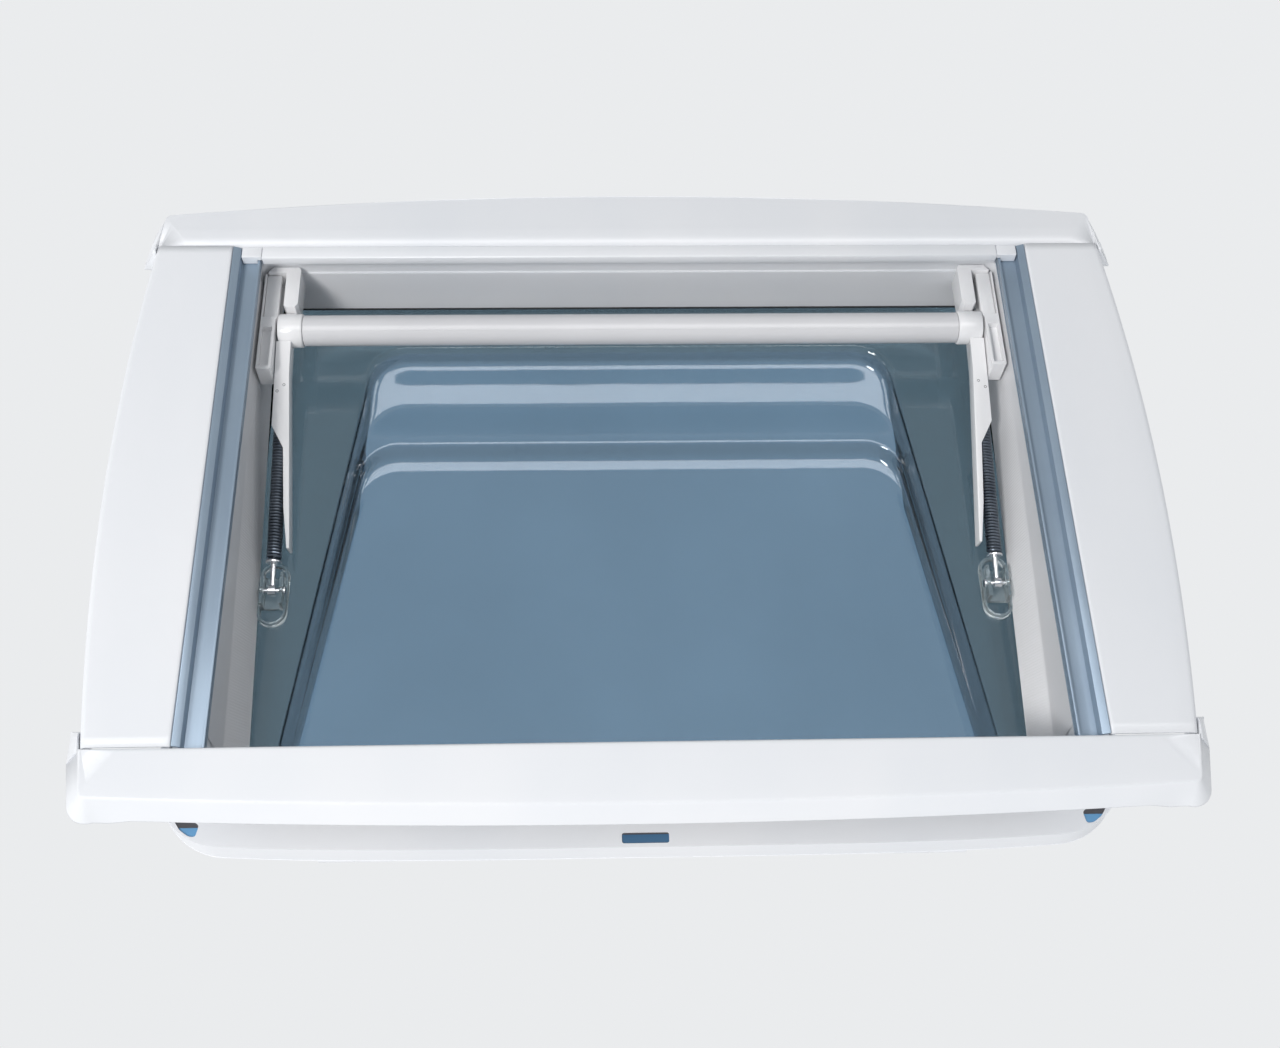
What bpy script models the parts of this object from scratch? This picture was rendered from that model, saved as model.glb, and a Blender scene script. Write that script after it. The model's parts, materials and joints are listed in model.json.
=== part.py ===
"""Tilt-open roof hatch with a double-skinned dome, a handle bar and two slide-out blinds.

Metres, +Z up. z = 0 is the room side of the inner frame and +Z points out through the roof.
-Y is the side that opens and +Y the side with the hinges. The origin is under the middle.
"""
import math

import bmesh
import bpy
from mathutils import Matrix, Vector

MM = 0.001
GAP = 0.3 * MM                    # clearance between neighbouring pieces

# Levels of the roof that the two frames clamp, round a 700 x 500 cut-out
CEILING_Z = 28 * MM                         # room side of the roof
ROOF_TOP_Z = 58 * MM                        # weather side of the roof

# Inner frame: two side rails between two end covers
FACE_T = 2.5 * MM                           # wall of the moulded covers
SEAM_Y = 239.5 * MM                         # joint between rails and covers
COVER_X = 430 * MM                          # half length of a cover at the seam
COVER_CORNER_X = 424 * MM
RAIL_BOW = 14 * MM
RAIL_IN_X = 361 * MM
OPEN_EDGE_Y, OPEN_CORNER_Y = 297 * MM, 275 * MM
HINGE_EDGE_Y, HINGE_CORNER_Y = 289.5 * MM, 279 * MM
FLARE_BOW, FLARE_END = 10 * MM, 17 * MM     # how far a skirt leans out
SKIRT_Z = 26.4 * MM                         # the slanted ends stay under the ceiling
NOTCH_X, NOTCH = 388 * MM, 4 * MM           # the hinge side's skirt is shallower between its ends

# Blind tracks and blinds
LIP_X = 336.6 * MM
TRACK_X = 353.2 * MM
BLACKOUT_Z = (0.9 * MM, 10.9 * MM)
SCREEN_Z = (13.3 * MM, 20.3 * MM)
BAR_DEPTH = 13 * MM
BLACKOUT_PACK, SCREEN_PACK = 36 * MM, 30 * MM   # depth of the folded cloths
SCREEN_PARK_Y = 248.5 * MM                  # the screen's bar parks inside the hinge side's cover

# Outer frame
WALL_T = 2.6 * MM
WALL_X, WALL_Y = 340.8 * MM, 239.6 * MM     # inner face of the upstand
WALL_TOP_Z = 95.5 * MM
OPEN_WALL_Z = 12 * MM                       # the opening side's wall reaches down to its blind
WALL_R = 12 * MM                            # inner corner radius
FLANGE_Z, FLANGE_T = 60.3 * MM, 3 * MM
RIM_X, RIM_Y, RIM_Z = 386 * MM, 307 * MM, 84 * MM
RIM_R = 54 * MM

# Trim liners on the two ends of the upstand
LINER_Y = 222 * MM
LINER_FOOT_Z, LINER_SHOULDER_Z = 24 * MM, 53.5 * MM
LINER_TOP_X, LINER_TAPER = 330 * MM, 0.036  # their roof side comes closer towards the hinges

# Dome
SKIN_Z, SKIN_T = 100.2 * MM, 2.5 * MM
PAN_TAPER = 0.121                           # the pan widens towards the hinges

# Hinges
HINGE_Y, HINGE_Z = 297 * MM, 96 * MM
KNUCKLE_R, HINGE_PIN_R, HINGE_HOLE_R = 5.5 * MM, 2.2 * MM, 2.6 * MM
HINGE_XS = (-230 * MM, 230 * MM)
HALF_HINGE = 30 * MM

# Handle bar, arms and spring rods
BAR_Y, BAR_Z, BAR_R = -177 * MM, 45 * MM, 14 * MM
SLEEVE_R = 15.5 * MM
SLEEVE_X = (299.3 * MM, 321.3 * MM)
PIVOT_Y, PIVOT_Z = 64 * MM, 91 * MM
ARM_X = (301.3 * MM, 322.5 * MM)            # an arm's inner edge at its tip, and its outer edge
ARM_NECK_X, ARM_NECK = 309.5 * MM, 200 * MM # its inner edge beside the bar
ARM_TIP, ARM_T = 36 * MM, 16 * MM
ROD_X, ROD_R = 315.5 * MM, 2.2 * MM
EYE_R, PIN_R, PIN_HOLE_R = 5 * MM, 2.3 * MM, 2.7 * MM
SPRING_R, SPRING_WIRE_R, SPRING_TURNS = 4.9 * MM, 1.1 * MM, 14
SPRING_SPAN = (28 * MM, 152 * MM)           # along the arm, from the pivot
SIDES = {"left": -1, "right": 1}

COLOURS = {
    "white_plastic": ((0.86, 0.87, 0.90, 1), 0.35, 0),
    "wall_plastic": ((0.80, 0.80, 0.82, 1), 0.3, 0),
    "rail_metal": ((0.32, 0.45, 0.55, 1), 0.35, 0.8),
    "rubber": ((0.03, 0.03, 0.035, 1), 0.7, 0),
    "tinted_acrylic": ((0.24, 0.36, 0.45, 0.6), 0.05, 0),
    "clear_plastic": ((0.75, 0.82, 0.84, 0.5), 0.08, 0),
    "bright_steel": ((0.72, 0.73, 0.75, 1), 0.2, 1),
    "spring_steel": ((0.12, 0.13, 0.15, 1), 0.3, 1),
    "pleated_fabric": ((0.70, 0.70, 0.71, 1), 0.8, 0),
    "screen_mesh": ((0.20, 0.21, 0.22, 1), 0.8, 0),
}


def clear_scene():
    for item in list(bpy.data.objects):
        bpy.data.objects.remove(item, do_unlink=True)


def collection(name):
    group = bpy.data.collections.new(name)
    bpy.context.scene.collection.children.link(group)
    return group


def material(slot):
    found = bpy.data.materials.get(slot)
    if found:
        return found
    colour, roughness, metallic = COLOURS[slot]
    made = bpy.data.materials.new(slot)
    made.use_nodes = True
    shader = made.node_tree.nodes["Principled BSDF"]
    shader.inputs["Base Color"].default_value = colour
    shader.inputs["Roughness"].default_value = roughness
    shader.inputs["Metallic"].default_value = metallic
    shader.inputs["Alpha"].default_value = colour[3]
    made.diffuse_color = colour
    return made


def finish_mesh(bm, name, slot, group):
    mesh = bpy.data.meshes.new(name)
    bm.to_mesh(mesh)
    bm.free()
    made = bpy.data.objects.new(name, mesh)
    group.objects.link(made)
    if slot:
        mesh.materials.append(material(slot))
    return made


def smooth(made, angle=35):
    made.data.shade_smooth()
    made.data.set_sharp_from_angle(angle=math.radians(angle))


def box(name, low, high, slot, bevel=0.0, group=None):
    """A block between two corners, with its edges rounded by a Bevel modifier."""
    bm = bmesh.new()
    bmesh.ops.create_cube(bm, size=1)
    size = Vector(high) - Vector(low)
    bmesh.ops.scale(bm, vec=size, verts=bm.verts)
    made = finish_mesh(bm, name, slot, group or PARTS)
    made.location = (Vector(low) + Vector(high)) / 2
    if bevel:
        edge = made.modifiers.new("rounded_edges", "BEVEL")
        edge.width = bevel
        edge.segments = 2
    return made


def cylinder(name, start, end, radius, slot, sides=20, group=None):
    """A closed cylinder whose axis runs from start to end."""
    start, end = Vector(start), Vector(end)
    bm = bmesh.new()
    bmesh.ops.create_cone(bm, cap_ends=True, segments=sides, radius1=radius, radius2=radius,
                          depth=(end - start).length)
    made = finish_mesh(bm, name, slot, group or PARTS)
    made.location = (start + end) / 2
    made.rotation_mode = "QUATERNION"
    made.rotation_quaternion = (end - start).to_track_quat("Z", "Y")
    smooth(made)
    return made


def as_mesh(curve, name, slot, group):
    """Turn a curve object into a welded mesh object at the same place."""
    bpy.context.view_layer.update()
    seen = curve.evaluated_get(bpy.context.evaluated_depsgraph_get())
    mesh = bpy.data.meshes.new_from_object(seen)
    bm = bmesh.new()
    bm.from_mesh(mesh)
    bmesh.ops.remove_doubles(bm, verts=bm.verts, dist=0.01 * MM)
    place = curve.matrix_world.copy()
    bpy.data.objects.remove(curve, do_unlink=True)
    bpy.data.meshes.remove(mesh)
    made = finish_mesh(bm, name, slot, group)
    made.matrix_world = place
    return made


def plate(name, outlines, thickness, matrix, slot, group=None):
    """Flat outlines, the first the edge and the others holes, extruded about their plane."""
    curve = bpy.data.curves.new(name, "CURVE")
    curve.dimensions = "2D"
    curve.fill_mode = "BOTH"
    curve.extrude = thickness / 2
    for outline in outlines:
        spline = curve.splines.new("POLY")
        spline.points.add(len(outline) - 1)
        for point, (x, y) in zip(spline.points, outline):
            point.co = (x, y, 0, 1)
        spline.use_cyclic_u = True
    shape = bpy.data.objects.new(name, curve)
    (group or PARTS).objects.link(shape)
    shape.matrix_world = matrix
    return as_mesh(shape, name, slot, group or PARTS)


def facing_x(x):
    """Plane whose outline coordinates are world Y and Z, at this X."""
    return Matrix(((0, 0, 1, x), (1, 0, 0, 0), (0, 1, 0, 0), (0, 0, 0, 1)))


def facing_y(y):
    """Plane whose outline coordinates are world X and Z, at this Y."""
    return Matrix(((1, 0, 0, 0), (0, 0, -1, y), (0, 1, 0, 0), (0, 0, 0, 1)))


def level(z):
    return Matrix.Translation((0, 0, z))


def arc(centre, radius, start, stop, steps):
    """Points on a circle from one angle in degrees to another."""
    points = []
    for step in range(steps + 1):
        angle = math.radians(start + (stop - start) * step / steps)
        points.append((centre[0] + radius * math.cos(angle), centre[1] + radius * math.sin(angle)))
    return points


def boolean(made, cutters, operation="DIFFERENCE"):
    """Cut or join with other objects, which are hidden helpers afterwards."""
    for cutter in cutters:
        cutter.hide_render = True
        cutter.display_type = "WIRE"
        step = made.modifiers.new(operation.lower(), "BOOLEAN")
        step.operation = operation
        step.object = cutter
    return made


def rounded_ring(far, near, far_half, near_half, radius, z, steps=5):
    """A level rounded outline between y = far and y = near, which may taper in width."""
    corners = ((near_half, near, 0), (-near_half, near, 90), (-far_half, far, 180), (far_half, far, 270))
    points = []
    for x, y, start in corners:
        centre = (x - math.copysign(radius, x), y - radius if y == near else y + radius)
        points += [Vector((px, py, z)) for px, py in arc(centre, radius, start, start + 90, steps)]
    return points


def loft(name, rings, slot, closed=False, cap=False, thickness=0.0):
    """Skin between rings of equal length. closed joins the last ring to the first."""
    bm = bmesh.new()
    rows = [[bm.verts.new(point) for point in ring] for ring in rings]
    pairs = list(zip(rows, rows[1:]))
    if closed:
        pairs.append((rows[-1], rows[0]))
    for lower, upper in pairs:
        for index in range(len(lower)):
            after = (index + 1) % len(lower)
            bm.faces.new((lower[index], lower[after], upper[after], upper[index]))
    if cap:
        lid = bm.faces.new(rows[-1])
        bmesh.ops.recalc_face_normals(bm, faces=bm.faces)
        if lid.normal.z < 0:
            bmesh.ops.reverse_faces(bm, faces=bm.faces)
    else:
        bmesh.ops.recalc_face_normals(bm, faces=bm.faces)
    made = finish_mesh(bm, name, slot, PARTS)
    if thickness:
        shell = made.modifiers.new("wall", "SOLIDIFY")
        shell.thickness = thickness
        shell.offset = -1
    smooth(made)
    return made


def tray(name, path, inner, depth, flare, slot):
    """A moulded cover: a flat face at z = 0 with a skirt along the outer path only."""
    normals = []
    for index in range(len(path)):
        before = path[max(index - 1, 0)]
        after = path[min(index + 1, len(path) - 1)]
        along = (Vector(after) - Vector(before)).normalized()
        normals.append(Vector((along.y, -along.x)))
    bm = bmesh.new()
    edge_in = 1.5 * MM
    rows = []
    for rise, lean in ((1, 1), (0.07, 0.07), (0, 0)):
        row = []
        for point, normal in zip(path, normals):
            out = flare(normal) * lean - (edge_in if rise == 0 else 0)
            spot = Vector(point) + normal * out
            row.append(bm.verts.new((spot.x, spot.y, depth(point[0]) * rise)))
        rows.append(row)
    for lower, upper in zip(rows, rows[1:]):
        for index in range(len(path) - 1):
            bm.faces.new((lower[index], lower[index + 1], upper[index + 1], upper[index]))
    face = bm.faces.new(rows[-1] + [bm.verts.new((x, y, 0)) for x, y in inner])
    bmesh.ops.recalc_face_normals(bm, faces=bm.faces)
    if face.normal.z > 0:
        bmesh.ops.reverse_faces(bm, faces=bm.faces)
    made = finish_mesh(bm, name, slot, PARTS)
    shell = made.modifiers.new("wall", "SOLIDIFY")
    shell.thickness = FACE_T
    shell.offset = -1
    shell.use_even_offset = True
    smooth(made)
    return made


def bowed(half, edge, corner_half, corner, steps=12):
    """Outer edge of a cover from one seam round two corners to the other seam."""
    end = [(half, SEAM_Y + 0.5 * MM)]
    bow = []
    for step in range(steps + 1):
        x = corner_half - 2 * corner_half * step / steps
        bow.append((x, edge - (edge - corner) * (x / corner_half) ** 2))
    first, last = bow[0], bow[-1]
    radius = 10 * MM
    bow[0] = (first[0] - radius, first[1] + 1 * MM)
    bow[-1] = (last[0] + radius, last[1] + 1 * MM)
    start = [(first[0] + 0.8 * MM, first[1] - radius), (first[0] - 2 * MM, first[1] - 3 * MM)]
    finish = [(-x, y) for x, y in reversed(start)]
    return end + start + bow + finish + [(-half, end[0][1])]


def covers():
    """The two end covers and the two bowed side rails of the inner frame."""
    def lean(normal):
        return FLARE_BOW + (FLARE_END - FLARE_BOW) * abs(normal.x)

    def full_depth(_x):
        return SKIRT_Z

    def notched_depth(x):
        return SKIRT_Z if abs(x) > NOTCH_X else SKIRT_Z - NOTCH

    path = bowed(COVER_X, HINGE_EDGE_Y, COVER_CORNER_X, HINGE_CORNER_Y)
    seam = SEAM_Y + 0.5 * MM
    tray("cover_hinge_side", path, [(-COVER_X + FACE_T, seam), (COVER_X - FACE_T, seam)],
         notched_depth, lambda normal: lean(-normal), "white_plastic")
    path = [(x, -y) for x, y in reversed(bowed(COVER_X, OPEN_EDGE_Y, COVER_CORNER_X, OPEN_CORNER_Y))]
    tray("cover_opening_side", path, [(COVER_X - FACE_T, -seam), (-COVER_X + FACE_T, -seam)],
         full_depth, lambda normal: lean(-normal), "white_plastic")
    for side, sign in SIDES.items():
        steps = 12
        path = []
        for step in range(steps + 1):
            y = -SEAM_Y + 2 * SEAM_Y * step / steps
            path.append((sign * (COVER_X + RAIL_BOW * (1 - (y / SEAM_Y) ** 2)), sign * y))
        ends = [(sign * RAIL_IN_X, sign * SEAM_Y), (sign * RAIL_IN_X, -sign * SEAM_Y)]
        tray(f"side_rail_{side}", path, ends, full_depth, lambda normal: 0, "white_plastic")


def mirrored(outline, sign):
    return [(sign * x, z) for x, z in outline]


def blind_channels():
    """Twin-track rails: the blackout blind runs room side, the screen roof side."""
    web, lip = TRACK_X, LIP_X
    outline = [(RAIL_IN_X - 0.6 * MM, 0.4 * MM), (web + 0.8 * MM, 3.2 * MM), (web, 11.3 * MM),
               (lip + 2 * MM, 11.3 * MM), (lip + 2 * MM, 6.5 * MM), (lip, 6.5 * MM), (lip, 12.9 * MM),
               (web, 12.9 * MM), (web, 20.6 * MM), (lip + 2 * MM, 20.6 * MM), (lip + 2 * MM, 22.2 * MM),
               (web + 1.8 * MM, 22.2 * MM), (web + 2.6 * MM, 4.6 * MM), (RAIL_IN_X - 0.6 * MM, 2.4 * MM)]
    for side, sign in SIDES.items():
        plate(f"blind_channel_{side}", [mirrored(outline, sign)], 2 * SEAM_Y - 1 * MM, facing_y(0), "rail_metal")


def blinds():
    """Pull bars with their end guides, and the folded packs parked in the end covers."""
    front = -SEAM_Y + 0.5 * MM
    low, high = BLACKOUT_Z
    box("blackout_pull_bar", (-LIP_X + 2 * MM, front, low), (LIP_X - 2 * MM, front + BAR_DEPTH, high),
        "white_plastic", 1 * MM)
    box("blackout_pleats", (-332 * MM, -SEAM_Y - 1 * MM - BLACKOUT_PACK, FACE_T + 0.8 * MM),
        (332 * MM, -SEAM_Y - 1 * MM, high), "pleated_fabric")
    guide = [(LIP_X - 1.7 * MM, low), (TRACK_X - 0.7 * MM, low), (TRACK_X - 0.7 * MM, high),
             (LIP_X + 2.4 * MM, high), (LIP_X + 2.4 * MM, 6.1 * MM), (LIP_X - 1.7 * MM, 6.1 * MM)]
    for side, sign in SIDES.items():
        plate(f"blackout_guide_{side}", [mirrored(guide, sign)], BAR_DEPTH - 2 * MM,
              facing_y(front + BAR_DEPTH / 2), "white_plastic")
    back = SCREEN_PARK_Y
    low, high = SCREEN_Z
    box("screen_pull_bar", (-LIP_X - 1.4 * MM, back - BAR_DEPTH, low), (LIP_X + 1.4 * MM, back, high),
        "white_plastic", 1 * MM)
    box("screen_pleats", (-335 * MM, back + 1 * MM, low), (335 * MM, back + 1 * MM + SCREEN_PACK, high),
        "screen_mesh")
    guide = [(LIP_X + 1.7 * MM, low), (TRACK_X - 0.7 * MM, low), (TRACK_X - 0.7 * MM, high - 0.1 * MM),
             (LIP_X + 1.7 * MM, high - 0.1 * MM)]
    for side, sign in SIDES.items():
        plate(f"screen_guide_{side}", [mirrored(guide, sign)], BAR_DEPTH - 2 * MM,
              facing_y(back - BAR_DEPTH / 2), "white_plastic")


def clamp_places():
    """Centres of the clamp screws: two on each long side and one on each short side."""
    reach = 246.4 * MM
    return [(-200 * MM, -reach, 0, -1), (200 * MM, -reach, 0, -1), (-200 * MM, reach, 0, 1),
            (200 * MM, reach, 0, 1), (-346.4 * MM, 0, -1, 0), (346.4 * MM, 0, 1, 0)]


def outer_frame():
    """Upstand through the roof, flange on the roof and raised rim, as one moulding."""
    bottom, step = 23.6 * MM, 40 * MM
    out_x, out_y, out_r = WALL_X + WALL_T, WALL_Y + WALL_T, WALL_R + WALL_T
    under, over = FLANGE_Z, FLANGE_Z + FLANGE_T
    section = [
        (WALL_X, WALL_Y + 0.6 * MM, WALL_R, bottom), (WALL_X, WALL_Y + 0.6 * MM, WALL_R, step),
        (WALL_X, WALL_Y, WALL_R, WALL_TOP_Z), (out_x, out_y, out_r, WALL_TOP_Z),
        (out_x, out_y + 0.6 * MM, out_r, over), (RIM_X - 4.5 * MM, RIM_Y - 4 * MM, RIM_R - 4 * MM, over),
        (RIM_X - 2.5 * MM, RIM_Y - 2.5 * MM, RIM_R - 2 * MM, RIM_Z), (RIM_X, RIM_Y, RIM_R, RIM_Z),
        (RIM_X - 2 * MM, RIM_Y - 2.5 * MM, RIM_R - 2 * MM, under), (out_x, out_y + 1 * MM, out_r, under),
        (out_x, out_y + 1 * MM, out_r, bottom)]
    rings = [rounded_ring(-y, y, x, x, radius, z) for x, y, radius, z in section]
    for point in rings[0] + rings[-1]:
        if point.y < -WALL_Y and abs(point.x) < WALL_X - WALL_R + GAP:
            point.z = OPEN_WALL_Z
    made = loft("outer_frame", rings, "white_plastic", closed=True)
    bosses, cuts = [], []
    for index, (x, y, _out_x, _out_y) in enumerate(clamp_places()):
        bosses.append(cylinder(f"boss_form_{index}", (x, y, CEILING_Z + 0.4 * MM), (x, y, 52 * MM), 3.4 * MM,
                               None, 12, HELPERS))
        cuts.append(cylinder(f"boss_bore_{index}", (x, y, 20 * MM), (x, y, 46 * MM), 1.9 * MM, None, 12, HELPERS))
    slot = [(-18.5, 294.5), (-17.5, 293.5), (17.5, 293.5), (18.5, 294.5), (18.5, 302), (-18.5, 302)]
    vent = [(364, 278), (347.5, 287.5), (351, 299.5), (362, 297), (371.5, 290), (378, 280)]
    for name, outline in (("slot_form", slot), ("vent_form_right", vent),
                          ("vent_form_left", [(-x, y) for x, y in vent])):
        points = [(x * MM, y * MM) for x, y in outline]
        cuts.append(plate(name, [points], 12 * MM, level(FLANGE_Z + FLANGE_T / 2), None, HELPERS))
    boolean(made, bosses, "UNION")
    boolean(made, cuts)


def clamps():
    """Brackets that pull up against the ceiling, and the screws that draw them."""
    top = CEILING_Z - 0.2 * MM
    for index, (x, y, side_x, side_y) in enumerate(clamp_places(), 1):
        near, reach, half = -2.8 * MM, 26 * MM, 14 * MM
        if side_x:
            low = (min(x + side_x * near, x + side_x * reach), y - half, top - 2 * MM)
            high = (max(x + side_x * near, x + side_x * reach), y + half, top)
        else:
            low = (x - half, min(y + side_y * near, y + side_y * reach), top - 2 * MM)
            high = (x + half, max(y + side_y * near, y + side_y * reach), top)
        made = box(f"clamp_bracket_{index}", low, high, "bright_steel")
        hole = cylinder(f"bracket_bore_{index}", (x, y, 20 * MM), (x, y, 32 * MM), 2 * MM, None, 12, HELPERS)
        boolean(made, [hole])
        turned = [(0, 44 * MM), (1.6 * MM, 43 * MM), (1.6 * MM, top - 2.3 * MM), (2.7 * MM, top - 2.3 * MM),
                  (2.7 * MM, top - 4.2 * MM), (0, top - 4.6 * MM)]
        turn(f"clamp_screw_{index}", turned, (x, y, 0), "bright_steel", 12)


def turn(name, profile, place, slot, steps):
    """A profile of (radius, z), top to bottom, turned about Z with a Screw modifier."""
    bm = bmesh.new()
    verts = [bm.verts.new((radius, 0, z)) for radius, z in profile]
    for first, second in zip(verts, verts[1:]):
        bm.edges.new((first, second))
    made = finish_mesh(bm, name, slot, PARTS)
    made.location = place
    screw = made.modifiers.new("turned", "SCREW")
    screw.steps = screw.render_steps = steps
    screw.use_merge_vertices = True
    screw.merge_threshold = 0.00005
    return made


def seals():
    """Flat gasket under the flange and the round bead that the dome closes on."""
    outer = rounded_ring(-274 * MM, 274 * MM, 366 * MM, 366 * MM, 40 * MM, 0)
    inner = rounded_ring(-253 * MM, 253 * MM, 352 * MM, 352 * MM, 30 * MM, 0)
    outlines = [[(p.x, p.y) for p in ring] for ring in (outer, inner)]
    plate("roof_gasket", outlines, 1.8 * MM, level(ROOF_TOP_Z + 1.1 * MM), "rubber")
    bead_r = 2 * MM
    half_x, half_y = WALL_X + WALL_T / 2, WALL_Y + WALL_T / 2
    path = rounded_ring(-half_y, half_y, half_x, half_x, WALL_R, WALL_TOP_Z + GAP + bead_r)
    wire("dome_seal", path, bead_r, "rubber", cyclic=True)


def wire(name, points, radius, slot, cyclic=False, resolution=1):
    """A round wire through points, as a curve object with filled caps."""
    curve = bpy.data.curves.new(name, "CURVE")
    curve.dimensions = "3D"
    curve.bevel_depth = radius
    curve.bevel_resolution = resolution
    curve.use_fill_caps = True
    spline = curve.splines.new("POLY")
    spline.points.add(len(points) - 1)
    for point, spot in zip(spline.points, points):
        point.co = (*spot, 1)
    spline.use_cyclic_u = cyclic
    made = bpy.data.objects.new(name, curve)
    PARTS.objects.link(made)
    curve.materials.append(material(slot))
    return made


def liner_x(y):
    """Half width between the ribbed liners at their roof-side edge, which taper in plan."""
    return LINER_TOP_X - LINER_TAPER * y


def side_liners():
    """Trim strips that lean in from the upstand and carry the ribbed bands."""
    steps = 8
    for side, sign in SIDES.items():
        rows = []
        for foot in (0, 1, 2):
            row = []
            for step in range(steps + 1):
                y = LINER_Y * (2 * step / steps - 1)
                shoulder = LINER_SHOULDER_Z + 0.113 * y
                x, z = ((338.4 * MM, LINER_FOOT_Z), (338.2 * MM, shoulder), (liner_x(y), WALL_TOP_Z))[foot]
                row.append(Vector((sign * x, y, z)))
            rows.append(row)
        bm = bmesh.new()
        made_rows = [[bm.verts.new(point) for point in row] for row in rows]
        for lower, upper in zip(made_rows, made_rows[1:]):
            for index in range(steps):
                bm.faces.new((lower[index], lower[index + 1], upper[index + 1], upper[index]))
        bmesh.ops.recalc_face_normals(bm, faces=bm.faces)
        bm.faces.ensure_lookup_table()
        if bm.faces[0].normal.x * sign > 0:
            bmesh.ops.reverse_faces(bm, faces=bm.faces)
        made = finish_mesh(bm, f"side_liner_{side}", "wall_plastic", PARTS)
        shell = made.modifiers.new("wall", "SOLIDIFY")
        shell.thickness = 1.8 * MM
        shell.offset = -1


def pan_half(y):
    """Half width of the inner skin's raised pan at its foot."""
    return 281 * MM + PAN_TAPER * (y - 69 * MM)


def dome():
    """Inner skin with a stepped pan, and the smooth outer skin over it."""
    near = 236 * MM
    rings = [rounded_ring(-262 * MM, 284 * MM, 352 * MM, 352 * MM, 30 * MM, SKIN_Z)]
    for far, height, lean in ((-197, 0, 0), (-188, 18, 2), (-168, 26, 5), (-122, 29, 6), (-106, 31, 7),
                              (-94, 42, 9), (-76, 45.8, 14)):
        far_y, near_y, inset = far * MM, near - lean * MM, lean * MM
        rings.append(rounded_ring(far_y, near_y, pan_half(far_y) - inset, pan_half(near_y) - inset,
                                  38 * MM, SKIN_Z + height * MM))
    loft("dome_inner_skin", lift(rings, SKIN_T), "tinted_acrylic", cap=True, thickness=SKIN_T)
    top = SKIN_Z + SKIN_T + 0.4 * MM
    skirt = rounded_ring(-303 * MM, 289 * MM, 383 * MM, 383 * MM, 50 * MM, top)
    for point in skirt:
        fade = min(max((point.y - 120 * MM) / (120 * MM), 0), 1)
        point.z = RIM_Z + 2 * MM + (top - RIM_Z - 2 * MM) * fade
    rings = [skirt, rounded_ring(-302 * MM, 288 * MM, 382 * MM, 382 * MM, 49 * MM, top + SKIN_T)]
    for inset, height in ((45, 1), (52, 8), (62, 36), (80, 46), (130, 52)):
        reach = inset * MM
        rings.append(rounded_ring(-303 * MM + reach, 289 * MM - reach * 0.72, 383 * MM - reach,
                                  383 * MM - reach, (60 + inset / 4) * MM, top + SKIN_T + height * MM))
    loft("dome_outer_skin", rings, "tinted_acrylic", cap=True, thickness=SKIN_T)


def lift(rings, height):
    """The same rings a little higher, for a wall that thickens downwards."""
    return [[point + Vector((0, 0, height)) for point in ring] for ring in rings]


def hinges():
    """Two hinges: a base on the flange, a leaf under the dome's edge and the pin in both."""
    centre = (HINGE_Y, HINGE_Z)
    hole = arc(centre, HINGE_HOLE_R, 0, 337.5, 15)
    foot_z = FLANGE_Z + FLANGE_T + GAP
    base = arc(centre, KNUCKLE_R, -74, 254, 14)
    base += [(HINGE_Y - 1.5 * MM, foot_z + 2.8 * MM), (HINGE_Y - 34 * MM, foot_z + 2.8 * MM),
             (HINGE_Y - 34 * MM, foot_z), (HINGE_Y + 1.5 * MM, foot_z)]
    leaf_top = SKIN_Z - GAP
    leaf = [(HINGE_Y - 38 * MM, leaf_top - 2.4 * MM), (HINGE_Y - 38 * MM, leaf_top)]
    leaf += arc(centre, KNUCKLE_R, 135, -187, 14)
    for index, x in enumerate(HINGE_XS, 1):
        plate(f"hinge_base_{index}", [base, hole], HALF_HINGE - 1.2 * MM, facing_x(x - HALF_HINGE / 2),
              "white_plastic")
        plate(f"hinge_leaf_{index}", [leaf, hole], HALF_HINGE - 1.2 * MM, facing_x(x + HALF_HINGE / 2),
              "white_plastic")
        cylinder(f"hinge_pin_{index}", (x - HALF_HINGE, HINGE_Y, HINGE_Z), (x + HALF_HINGE, HINGE_Y, HINGE_Z),
                 HINGE_PIN_R, "bright_steel", 16)


def arm_frame(sign):
    """Matrix of the arm: local x across, local y from pivot to bar, local z towards the dome."""
    along = Vector((0, BAR_Y - PIVOT_Y, BAR_Z - PIVOT_Z)).normalized()
    across = Vector((sign, 0, 0))
    up = across.cross(along)
    matrix = Matrix((across, along, up)).transposed().to_4x4()
    matrix.translation = (0, PIVOT_Y, PIVOT_Z)
    return matrix


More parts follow.
